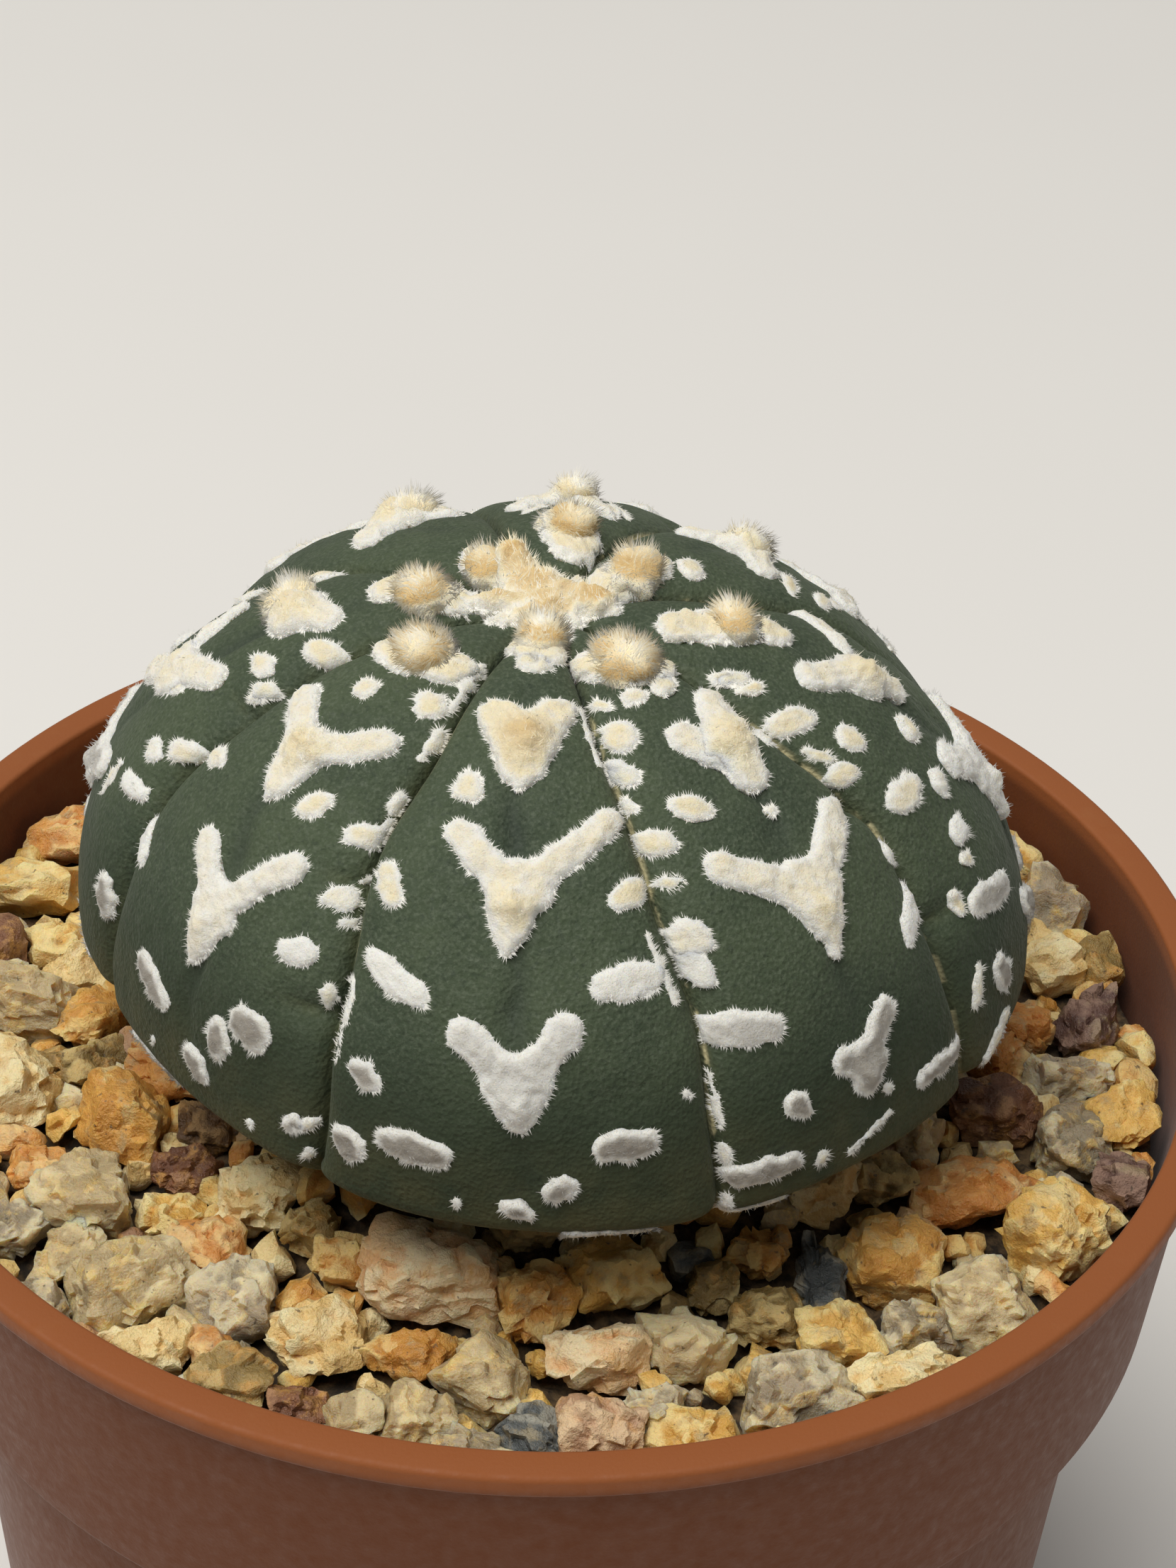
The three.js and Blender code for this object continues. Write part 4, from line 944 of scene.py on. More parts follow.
# Wool in the middle of the crown, in mm right and back of its middle: strokes with their widths, and
# bumps with their reach, rise and tan
CROWN_ROOT = 1.2
CROWN_HEIGHT = 0.75
CROWN_STROKES = [
    ((-0.4, 1.2), (0.3, -0.6), 3.6, 3.2), ((-0.8, 1.6), (-2.0, 3.4), 3.4, 2.0),
    ((0.5, 0.9), (1.8, 2.3), 2.0, 0.4), ((0.6, 0.3), (3.2, 0.0), 2.8, 1.9),
    ((-0.8, -0.2), (-4.1, -0.2), 2.0, 1.2), ((-0.6, -1.1), (-2.8, -1.9), 1.7, 0.4),
    ((0.3, -1.0), (0.2, -2.8), 2.8, 2.6), ((0.8, -0.9), (2.2, -1.8), 1.7, 0.4),
]
CROWN_BUMPS = [
    ((-0.6, 1.2), 1.2, 0.9, 0.6), ((-1.7, 3.0), 1.1, 1.5, 0.75), ((2.6, 0.0), 0.9, 0.7, 0.9),
    ((1.2, 0.7), 0.9, 0.6, 0.4), ((0.0, -0.9), 1.1, 0.6, 0.6), ((-2.2, -0.2), 0.8, 0.4, 0.5),
]
CROWN_CREAM = 0.8
CROWN_HAIR_CREAM = 0.6
CROWN_HAIR_DENSITY = 2.3
CROWN_HAIR_LONG = 1.25
CROWN_RAGGED = 1.8
CROWN_SEED = 8


def crown_frames(place):
    """The crown's skin under places beside its middle, with its three directions."""
    radius = np.hypot(place[:, 0], place[:, 1])
    sine = (radius / CREST_RADIUS) ** (UPPER_CURVE / 2)
    level = RISE * (1 - sine ** 2) ** (1 / UPPER_CURVE)
    level -= CROWN_DIP * np.exp(-((radius / CROWN_DIP_RADIUS) ** 2))
    ground = np.column_stack([
        AXIS[0] + LEAN * level / RISE + place[:, 0], AXIS[1] + place[:, 1], WIDEST_Z + level,
    ])
    up = unit(np.column_stack([0.05 * place, np.ones(len(place))]))
    return ground, up, np.array([[1.0, 0, 0]]), np.array([[0, 1.0, 0]])


def crown_wool():
    wool = Gathered()
    hairs = Gathered()
    strokes = [(np.array(start), np.array(end), wide, narrow) for start, end, wide, narrow in CROWN_STROKES]
    shape = mark_shape(strokes, CROWN_BUMPS, CROWN_HEIGHT, crown_frames, 5, CROWN_RAGGED, root=CROWN_ROOT)
    add_mark(shape, wool, CROWN_CREAM)
    rng = np.random.default_rng(CROWN_SEED)
    grow_on_mark(shape, hairs, rng, CROWN_HAIR_CREAM, CROWN_HAIR_DENSITY, CROWN_HAIR_LONG)
    return wool, hairs


# Stones that stand out, by place, size, turn and kind. Places, sizes and turns are as in the part.
STONES = [
    (-30.5, 17.5, 6.0, 4.0, 20, "orange"), (-32.0, 12.0, 7.0, 3.8, 5, "yellow"),
    (-29.8, 7.0, 3.8, 3.2, 0, "yellow"), (-31.0, 0.8, 6.6, 6.0, 0, "quartz"),
    (-30.8, -7.0, 5.8, 6.4, 60, "cream"), (-26.3, -4.4, 5.4, 3.6, 10, "olive"),
    (-23.2, -9.9, 5.4, 5.2, 10, "ochre"), (-18.2, -10.6, 3.3, 3.0, 0, "brown"),
    (-19.4, -14.0, 4.4, 3.0, 0, "red"), (-24.4, -16.2, 6.2, 5.8, 30, "quartz"),
    (-27.6, -13.6, 3.4, 3.0, 0, "orange"), (-19.6, -17.4, 3.2, 3.4, 60, "yellow"),
    (-14.9, -16.6, 4.4, 4.6, 80, "cream"), (-11.8, -18.6, 3.6, 3.4, 0, "olive"),
    (-28.8, -19.2, 4.2, 3.8, 40, "grey"), (-26.0, -24.2, 3.0, 3.8, 60, "grey"),
    (-21.2, -22.8, 6.8, 5.2, 20, "quartz"), (-19.4, -27.2, 4.2, 3.0, 15, "cream"),
    (-15.4, -23.6, 4.8, 5.2, 70, "grey"), (-15.0, -29.6, 4.2, 3.6, 0, "olive"),
    (-11.4, -31.0, 3.8, 3.2, 0, "red"), (-10.4, -26.2, 6.0, 4.4, 10, "cream"),
    (-9.8, -20.8, 3.6, 3.2, 0, "ochre"), (-4.9, -22.2, 7.4, 5.4, -5, "pink"),
    (-5.6, -27.0, 5.0, 3.4, 15, "ochre"), (-8.6, -32.4, 3.0, 2.8, 0, "quartz"),
    (-5.4, -31.6, 4.6, 3.8, 0, "quartz"), (-2.6, -33.6, 3.6, 2.6, 0, "grey"),
    (-1.6, -28.6, 4.4, 5.0, 60, "quartz"), (0.9, -23.0, 5.2, 4.6, 40, "ochre"),
    (0.4, -19.0, 4.4, 3.0, 0, "olive"), (5.0, -21.4, 6.0, 4.2, 0, "yellow"),
    (0.8, -32.4, 3.6, 4.4, 80, "slate"), (4.2, -27.0, 5.6, 4.2, 10, "pink"),
    (4.6, -32.2, 4.4, 4.0, 0, "buff"), (7.2, -30.4, 3.0, 3.0, 0, "grey"),
    (8.8, -25.4, 4.0, 5.2, 75, "quartz"), (10.4, -20.8, 2.8, 3.4, 0, "olive"),
    (13.0, -18.6, 3.8, 3.0, 0, "ochre"), (13.2, -22.8, 5.2, 3.6, 10, "olive"),
    (10.0, -32.2, 5.4, 3.4, 10, "yellow"), (14.6, -28.6, 6.2, 5.2, 30, "grey"),
    (16.4, -20.4, 2.6, 7.4, 5, "slate"), (20.4, -18.4, 6.6, 5.4, 0, "ochre"),
    (19.4, -12.2, 4.2, 3.2, 0, "olive"), (25.2, -12.4, 8.6, 4.8, 15, "orange"),
    (25.0, -20.8, 5.2, 6.2, 70, "quartz"), (20.4, -27.0, 5.6, 3.6, 25, "cream"),
    (16.6, -31.4, 3.0, 2.6, 0, "slate"), (29.8, -15.8, 6.2, 5.4, 40, "yellow"),
    (31.0, -7.4, 4.8, 4.4, 0, "grey"), (34.0, -10.8, 3.4, 3.6, 0, "plum"),
    (34.4, -5.4, 4.0, 4.4, 0, "yellow"), (26.6, -5.2, 6.0, 3.8, 0, "red"),
    (31.4, -1.6, 5.6, 3.6, 5, "grey"), (33.2, 3.4, 5.4, 4.0, 70, "plum"),
    (29.0, 2.6, 3.8, 3.8, 0, "orange"), (31.4, 8.8, 5.2, 3.8, 20, "cream"),
    (34.4, 9.4, 3.6, 4.6, 0, "olive"), (32.0, 14.6, 4.8, 4.4, 50, "grey"),
    (28.8, 19.2, 4.6, 4.6, 0, "yellow"), (29.0, 13.4, 3.6, 2.8, 0, "grey"),
]

STONE_SEED = 7
KIND_SEED = 31
BREAK_SEED = 17
STONE_TRIES = 4000
STONE_SPACING = 0.84
STONE_WIDTH = 4.4
STONE_WIDTH_SPREAD = 2.2
STONE_CUTS = 7
STONE_CUT_DEEPEST = 0.88
STONE_CORNER_REACH = 1.2
STONE_SHAPE_SEED = 107
STONE_FLATNESS = 0.42
STONE_TILT = 24

# Each kind of stone: its share of the stones drawn by lot, how clear it is, and its main, dark and
# pale colours, with that of its stains
GREY_STAIN = (0.40, 0.31, 0.17)
RUST_STAIN = (0.68, 0.36, 0.09)
YELLOW_STAIN = (0.90, 0.64, 0.22)
KINDS = {
    "yellow": (0.17, 0.35, (0.88, 0.56, 0.16), (0.66, 0.36, 0.07), (0.96, 0.79, 0.38), GREY_STAIN),
    "ochre": (0.15, 0.35, (0.78, 0.41, 0.09), (0.56, 0.25, 0.045), (0.94, 0.70, 0.29), GREY_STAIN),
    "orange": (0.13, 0.4, (0.80, 0.39, 0.10), (0.60, 0.24, 0.05), (0.94, 0.67, 0.31), GREY_STAIN),
    "cream": (0.17, 0.2, (0.92, 0.71, 0.34), (0.76, 0.50, 0.18), (0.97, 0.86, 0.52), RUST_STAIN),
    "buff": (0.06, 0.15, (0.58, 0.35, 0.20), (0.40, 0.22, 0.12), (0.84, 0.62, 0.38), RUST_STAIN),
    "quartz": (0.14, 0.7, (0.63, 0.49, 0.27), (0.45, 0.34, 0.18), (0.88, 0.73, 0.43), YELLOW_STAIN),
    "grey": (0.05, 0.7, (0.45, 0.36, 0.24), (0.30, 0.24, 0.15), (0.82, 0.72, 0.48), YELLOW_STAIN),
    "olive": (0.05, 0.4, (0.38, 0.26, 0.09), (0.22, 0.145, 0.045), (0.72, 0.55, 0.24), RUST_STAIN),
    "brown": (0.03, 0.1, (0.25, 0.125, 0.045), (0.12, 0.06, 0.022), (0.52, 0.32, 0.14), RUST_STAIN),
    # The red kind is a dark brown, partly painted shade for the red stone lying in the shadow under the
    # cactus
    "red": (0.02, 0.0, (0.24, 0.10, 0.045), (0.13, 0.052, 0.026), (0.50, 0.28, 0.14), RUST_STAIN),
    "pink": (0.02, 0.25, (0.92, 0.64, 0.34), (0.82, 0.45, 0.19), (0.96, 0.83, 0.54), RUST_STAIN),
    "plum": (0.005, 0.0, (0.19, 0.10, 0.075), (0.10, 0.052, 0.04), (0.38, 0.24, 0.17), GREY_STAIN),
    "slate": (0.005, 0.1, (0.13, 0.14, 0.135), (0.055, 0.062, 0.062), (0.46, 0.44, 0.36), GREY_STAIN),
}
KIND_NAMES = list(KINDS)
KIND_SHARES = [KINDS[kind][0] for kind in KIND_NAMES]


def all_stones():
    """The stones that stand out, then the rest drawn by lot into the space that these leave."""
    draw = make_random(STONE_SEED)
    rng = np.random.default_rng(KIND_SEED)
    stones = list(STONES)
    for _ in range(STONE_TRIES):
        angle = 2 * math.pi * draw()
        radius = GRIT_INNER + (GRIT_OUTER - GRIT_INNER) * draw()
        wide = STONE_WIDTH + STONE_WIDTH_SPREAD * draw()
        deep = wide * (0.72 + 0.28 * draw())
        turn = 180 * draw()
        x = radius * math.cos(angle)
        y = radius * math.sin(angle)
        clear = all(
            math.hypot(other[0] - x, other[1] - y)
            > STONE_SPACING * (wide + deep + other[2] + other[3]) / 4
            for other in stones
        )
        if clear:
            stones.append((x, y, wide, deep, turn, rng.choice(KIND_NAMES, p=KIND_SHARES)))
    return stones


def bed_height(radius):
    return GRIT_BED_TOP + GRIT_MOUND * (1 - smooth_step(MOUND_INNER, MOUND_OUTER, radius))


def ball(cuts):
    """Points and triangles of a ball of evenly spread faces."""
    mesh = bpy.data.meshes.new("ball")
    shape = bmesh.new()
    bmesh.ops.create_icosphere(shape, subdivisions=1, radius=1)
    bmesh.ops.subdivide_edges(shape, edges=shape.edges[:], cuts=cuts, use_grid_fill=True)
    bmesh.ops.triangulate(shape, faces=shape.faces[:])
    shape.to_mesh(mesh)
    shape.free()
    points = np.array([vertex.co[:] for vertex in mesh.vertices])
    triangles = np.array([face.vertices[:] for face in mesh.polygons])
    bpy.data.meshes.remove(mesh)
    return unit(points), triangles


STONE_GROWTH = 1.09
NEAR_STONES = 5
NEAR_CUTS = 10
FAR_CUTS = 5
FILLER_CUTS = 2
SHARP_FROM = 38
EDGE_SHARPNESS = 90
LEAST_FACING = 0.05
OUT_OF_REACH = 9
NOISE_SHIFT = 90
FACE_NEAREST = 0.62
FACE_SPREAD = 0.24
FACE_TILT = 0.34
CHIPS = 8
CHIP_NEAREST = 0.76
CHIP_SPREAD = 0.25
CRYSTAL = 1.0
FEWEST_CRYSTALS = 6
CRYSTAL_STEP = 0.11
CRYSTAL_TILT = 0.22
CRYSTAL_LIMIT = 0.3
CRUST_PATCH = 2.2
CRUST_LUMP = 0.95
CRUST_RISE = 0.26
FINE_LUMP = 0.4
FINE_RISE = 0.1


def stone_planes(rng):
    """Faces on all six sides of a block, each a little askew, and a few chipped corners."""
    sides = np.concatenate([np.eye(3), -np.eye(3)])
    faces = np.column_stack([
        unit(sides + rng.normal(0, FACE_TILT, (6, 3))), FACE_NEAREST + FACE_SPREAD * rng.random(6),
    ])
    chips = np.column_stack([
        unit(rng.normal(size=(CHIPS, 3))), CHIP_NEAREST + CHIP_SPREAD * rng.random(CHIPS),
    ])
    return np.concatenate([faces, chips])


def crystals(block, half_sizes, rng):
    """Small flat steps where crystals have broken out, and a number for each crystal."""
    count = max(FEWEST_CRYSTALS, int(8 * np.prod(half_sizes) / CRYSTAL ** 3))
    middles = rng.uniform(-1, 1, (count, 3)) * half_sizes
    squash = rng.uniform(0.6, 1.5, 3)
    away = np.square((block[:, None] - middles) * squash).sum(-1)
    own = away.argmin(1)
    slope = rng.normal(0, CRYSTAL_TILT, (count, 3))[own]
    step = rng.normal(0, CRYSTAL_STEP, count)[own] + ((block - middles[own]) * slope).sum(1)
    return np.clip(step, -CRYSTAL_LIMIT, CRYSTAL_LIMIT), rng.random(count)[own]


def stone_points(directions, planes, half_sizes, tilt, turn, place, rng):
    """A ball cut down by planes, stretched, broken, roughened and laid in place.

    Gives its points with two numbers for each: how raised it is, and its crystal's own.
    """
    facing = directions @ planes[:, :3].T
    reach = np.where(facing > LEAST_FACING, planes[:, 3] / np.maximum(facing, LEAST_FACING), OUT_OF_REACH)
    every = np.concatenate([reach, np.full((len(reach), 1), STONE_CORNER_REACH)], axis=1)
    reach = -np.log(np.exp(-EDGE_SHARPNESS * every).sum(1)) / EDGE_SHARPNESS
    block = directions * reach[:, None]
    block = block / np.abs(block).max(0) * half_sizes
    out = unit(block / np.square(half_sizes))
    where = block + NOISE_SHIFT * rng.random(3)
    patch = smooth_step(-0.35, 0.35, lattice_noise(where, CRUST_PATCH, 5))
    lumps = patch * (0.5 - np.abs(lattice_noise(where, CRUST_LUMP, 1)))
    fine = lattice_noise(where, FINE_LUMP, 2)
    step, crystal = crystals(block, half_sizes, rng)
    rise = CRUST_RISE * lumps + FINE_RISE * fine * (0.4 + 0.6 * patch) + step
    points = block + out * rise[:, None]
    raised = np.clip(0.45 + 0.9 * lumps + 0.25 * fine + step, 0, 1) * (0.3 + 0.7 * patch)
    points = points @ np.array(Matrix.Rotation(tilt, 3, "X")).T
    points = points @ np.array(Matrix.Rotation(turn, 3, "Z")).T
    points = points + place
    radius = np.hypot(points[:, 0], points[:, 1])
    points[:, :2] *= np.minimum(1, WALL_REACH / radius)[:, None]
    return points, {"crust": raised, "crystal": crystal}


def random_direction(draw):
    z = 2 * draw() - 1
    angle = 2 * math.pi * draw()
    flat = math.sqrt(1 - z * z)
    return flat * math.cos(angle), flat * math.sin(angle), z


FILLER_TRIES = 5200
FILLER_SIZES = (1.5, 3.0)
FILLER_SHAPE = np.array([0.55, 0.45, 0.42])
FILLER_TILT = 0.6
FILLER_PLAY = (-0.5, 0.7)


def grit_meshes():
    """Every stone, gathered by its kind, and small ones in the gaps between them."""
    kinds = {kind: Gathered() for kind in KINDS}
    draw = make_random(STONE_SHAPE_SEED)
    rng = np.random.default_rng(BREAK_SEED)
    near = ball(NEAR_CUTS)
    far = ball(FAR_CUTS)
    small = ball(FILLER_CUTS)
    stones = all_stones()
    for x, y, wide, deep, turn, kind in stones:
        cuts = [(*random_direction(draw), STONE_CUT_DEEPEST + 0.25 * draw()) for _ in range(STONE_CUTS)]
        planes = np.concatenate([cuts, stone_planes(rng)])
        high = STONE_FLATNESS * min(wide, deep)
        stand = high * (GRIT_STAND + 0.3 * (draw() - 0.5))
        tilt = math.radians(STONE_TILT * (draw() - 0.5))
        place = np.array([x, y, bed_height(math.hypot(x, y)) + stand])
        half_sizes = STONE_GROWTH * np.array([wide / 2, deep / 2, high])
        directions, triangles = near if y < NEAR_STONES else far
        points, values = stone_points(directions, planes, half_sizes, tilt, math.radians(turn), place, rng)
        kinds[kind].add(points, triangles, own=rng.uniform(), **values)
    centres = np.array([stone[:2] for stone in stones])
    reaches = np.array([(stone[2] + stone[3]) / 4 for stone in stones])
    for _ in range(FILLER_TRIES):
        angle = rng.uniform(0, 2 * math.pi)
        radius = rng.uniform(GRIT_INNER - 2, WALL_REACH - 0.8)
        size = rng.uniform(*FILLER_SIZES)
        x = radius * math.cos(angle)
        y = radius * math.sin(angle)
        tilt = rng.uniform(-FILLER_TILT, FILLER_TILT)
        turn = rng.uniform(0, math.pi)
        if np.any(np.hypot(centres[:, 0] - x, centres[:, 1] - y) < 0.86 * reaches + 0.3 * size):
            continue
        centres = np.append(centres, [[x, y]], axis=0)
        reaches = np.append(reaches, size / 2)
        place = np.array([x, y, float(bed_height(radius)) - 0.1 + rng.uniform(*FILLER_PLAY)])
        kind = rng.choice(KIND_NAMES, p=KIND_SHARES)
        half_sizes = size * FILLER_SHAPE
        points, values = stone_points(small[0], stone_planes(rng), half_sizes, tilt, turn, place, rng)
        kinds[kind].add(points, small[1], own=rng.uniform(), **values)
    return kinds


BED_RINGS = 44
BED_SIDES = 180
BED_HOLE = 7.2
BED_SINK = 1.0


def bed_mesh():
    """The fines between and under the stones, dark brown to near black, partly a painted shade deep in the
    gaps.
    """
    radii = np.linspace(RIM_RADIUS - LIP_WIDTH - 1.4, BED_HOLE, BED_RINGS)
    turn = turns_around(BED_SIDES)
    x = AXIS[0] * (1 - radii / RIM_RADIUS)[:, None] + radii[:, None] * np.cos(turn)
    y = AXIS[1] * (1 - radii / RIM_RADIUS)[:, None] + radii[:, None] * np.sin(turn)
    level = bed_height(np.hypot(x, y)) - BED_SINK
    points = np.stack([x, y, level], axis=-1)
    flat = points.reshape(-1, 3)
    grain = 0.45 * lattice_noise(flat, 1.3, 2) + 0.25 * lattice_noise(flat, 0.6, 4)
    points[..., 2] += grain.reshape(level.shape)
    ends = points[[0, -1]]
    ends[..., 2] = SOIL_TOP + 0.1
    rings = np.concatenate([ends[:1], points, ends[1:], ends[:1]])
    return make_mesh("grit_bed", *welded(rings))


def welded(rings):
    """A closed band through rings of points whose last ring is the first one again."""
    count = rings.shape[1]
    quads = ring_quads(len(rings), count)
    quads = np.where(quads >= (len(rings) - 1) * count, quads - (len(rings) - 1) * count, quads)
    return rings[:-1].reshape(-1, 3), quads


# Pot
def collar_radius(z):
    part = (z - COLLAR_LOW_Z) / (POT_HEIGHT - LIP_DEPTH - COLLAR_LOW_Z)
    return COLLAR_LOW_RADIUS + (COLLAR_TOP_RADIUS - COLLAR_LOW_RADIUS) * min(part, 1)


def barrel_radius(z):
    return BASE_RADIUS + (BARREL_TOP_RADIUS - BASE_RADIUS) * z / BARREL_TOP_Z


def inner_radius(z):
    outer = collar_radius(z) if z >= COLLAR_LOW_Z else barrel_radius(z)
    return outer - WALL


def bend(centre, radius, start, end, steps=5):
    """Points of an arc in a cross-section, between two angles in degrees."""
    turns = np.radians(np.linspace(start, end, steps))
    return [(centre[0] + radius * math.cos(a), centre[1] + radius * math.sin(a)) for a in turns]


def pot_mesh():
    """The pot's cross-section, from the middle of its floor out, up, over the lip and back, turned."""
    floor_top = FOOT_HEIGHT + FLOOR
    step_z = BARREL_TOP_Z - 0.6
    lip_low = POT_HEIGHT - LIP_DEPTH
    outline = [
        (0.02, FOOT_HEIGHT), (BASE_RADIUS - FOOT_WIDTH - 0.6, FOOT_HEIGHT),
        (BASE_RADIUS - FOOT_WIDTH - 0.15, 0.3), (BASE_RADIUS - FOOT_WIDTH, 0), (BASE_RADIUS - 0.5, 0),
        *bend((BASE_RADIUS - 0.5, 0.5), 0.5, -90, 0),
        *((barrel_radius(z), z) for z in np.linspace(4, BARREL_TOP_Z - 0.4, 12)),
        (BARREL_TOP_RADIUS + 0.05, BARREL_TOP_Z - 0.12), (BARREL_TOP_RADIUS + 0.35, BARREL_TOP_Z + 0.05),
        (COLLAR_LOW_RADIUS - 0.55, COLLAR_LOW_Z - 0.32),
        *bend((COLLAR_LOW_RADIUS - 0.45, COLLAR_LOW_Z + 0.2), 0.45, -70, 0),
        *((collar_radius(z), z) for z in np.linspace(COLLAR_LOW_Z + 1.5, lip_low - 0.5, 8)),
        (COLLAR_TOP_RADIUS, lip_low), (COLLAR_TOP_RADIUS + 0.35, lip_low + 0.1),
        *bend((RIM_RADIUS - 0.3, lip_low + 0.42), 0.3, -80, 0, 4),
        *bend((RIM_RADIUS - 0.35, POT_HEIGHT - 0.35), 0.35, 0, 90, 6),
        *bend((RIM_RADIUS - LIP_WIDTH + 0.3, POT_HEIGHT - 0.3), 0.3, 90, 180, 5),
        *((inner_radius(z), z) for z in np.linspace(POT_HEIGHT - 2, COLLAR_LOW_Z, 8)),
        (inner_radius(step_z), step_z), (inner_radius(floor_top), floor_top), (0.02, floor_top),
    ]
    turn = turns_around(POT_SIDES)
    flat = np.concatenate([level_ring((0, 0), radius, turn, z) for radius, z in outline])
    wobble = POT_WOBBLE * lattice_noise(flat, 14, 5)
    flat = flat + wobble[:, None] * unit(flat * [1, 1, 0])
    ends = np.array([[0, 0, FOOT_HEIGHT], [0, 0, floor_top]], float)
    points = np.concatenate([flat, ends])
    return make_mesh("pot_shell", points, ring_triangles(len(outline), POT_SIDES))


def cut_drains(piece):
    """Round holes through the pot's floor."""
    holes = Gathered()
    levels = (FOOT_HEIGHT - DRAIN_REACH, FOOT_HEIGHT + FLOOR + DRAIN_REACH)
    for angle in turns_around(DRAIN_COUNT):
        middle = (DRAIN_CIRCLE * math.cos(angle), DRAIN_CIRCLE * math.sin(angle))
        rings = [level_ring(middle, DRAIN_RADIUS, turns_around(DRAIN_SIDES), z) for z in levels]
        ends = np.array([[*middle, z] for z in levels])
        holes.add(np.concatenate([*rings, ends]), ring_triangles(2, DRAIN_SIDES))
    cutter = bpy.data.objects.new("drain_cutter", holes.mesh("drain_cutter"))
    bpy.context.scene.collection.objects.link(cutter)
    cut = piece.modifiers.new("drains", "BOOLEAN")
    cut.operation = "DIFFERENCE"
    cut.solver = "EXACT"
    cut.object = cutter
    graph = bpy.context.evaluated_depsgraph_get()
    made = bpy.data.meshes.new_from_object(piece.evaluated_get(graph))
    piece.modifiers.clear()
    old = piece.data
    piece.data = made
    bpy.data.meshes.remove(old)
    made.name = "pot_shell"
    bpy.data.objects.remove(cutter)


# Materials
class Surface:
    """A node material with a few short ways to add what it needs."""

    def __init__(self, name):
        self.material = bpy.data.materials.new(name)
        self.material.use_nodes = True
        self.nodes = self.material.node_tree.nodes
        self.links = self.material.node_tree.links
        self.shader = self.nodes["Principled BSDF"]
        self.place = self.nodes.new("ShaderNodeTexCoord").outputs["Object"]

    def set(self, **values):
        for name, value in values.items():
            self.shader.inputs[name.replace("_", " ")].default_value = value

    def join(self, source, target):
        if isinstance(source, (int, float)):
            target.default_value = source
        elif isinstance(source, tuple):
            target.default_value = (*source, 1)[:len(target.default_value)]
        else:
            self.links.new(source, target)

    def read(self, kind, output, **inputs):
        """One output of a new node, whose inputs are set or linked by name."""
        node = self.nodes.new("ShaderNode" + kind)
        for name, value in inputs.items():
            self.join(value, node.inputs[name])
        return node.outputs[output]

    def noise(self, size, detail=3, roughness=0.55):
        """Noise whose lumps are about size mm, from 0 to 1."""
        shape = {"Scale": 1 / (size * MM), "Detail": detail, "Roughness": roughness}
        return self.read("TexNoise", "Fac", Vector=self.place, **shape)

    def cells(self, size):
        """The distance to the middles of cells about size mm wide."""
        return self.read("TexVoronoi", "Distance", Vector=self.place, Scale=1 / (size * MM))

    def height(self):
        """The height above the ground, in metres."""
        return self.read("SeparateXYZ", "Z", Vector=self.place)

    def value(self, name):
        node = self.nodes.new("ShaderNodeAttribute")
        node.attribute_name = name
        return node.outputs["Fac"]

    def math(self, kind, one, other):
        node = self.nodes.new("ShaderNodeMath")
        node.operation = kind
        self.join(one, node.inputs[0])
        self.join(other, node.inputs[1])
        return node.outputs[0]

    def ramp(self, source, low, high):
        """Source brought to 0 at low and 1 at high."""
        node = self.nodes.new("ShaderNodeMapRange")
        node.interpolation_type = "SMOOTHSTEP"
        node.inputs["From Min"].default_value = low
        node.inputs["From Max"].default_value = high
        self.join(source, node.inputs["Value"])
        return node.outputs["Result"]

    def mix(self, share, one, other):
        node = self.nodes.new("ShaderNodeMix")
        node.data_type = "RGBA"
        self.join(share, node.inputs[0])
        self.join(one, node.inputs[6])
        self.join(other, node.inputs[7])
        return node.outputs[2]

    def tint(self, tone, share, strength, colour):
        """The tone moved towards a colour by a share, and at most by the given strength."""
        return self.mix(self.math("MULTIPLY", share, strength), tone, colour)

    def bump(self, height, depth):
        """Relief of the given depth in mm; a second call adds to the first."""
        node = self.nodes.new("ShaderNodeBump")
        node.inputs["Distance"].default_value = depth * MM
        self.join(height, node.inputs["Height"])
        before = self.shader.inputs["Normal"]
        if before.is_linked:
            self.links.new(before.links[0].from_socket, node.inputs["Normal"])
        self.links.new(node.outputs["Normal"], before)

    def colour(self, source):
        self.join(source, self.shader.inputs["Base Color"])

    def roughness(self, source):
        self.join(source, self.shader.inputs["Roughness"])


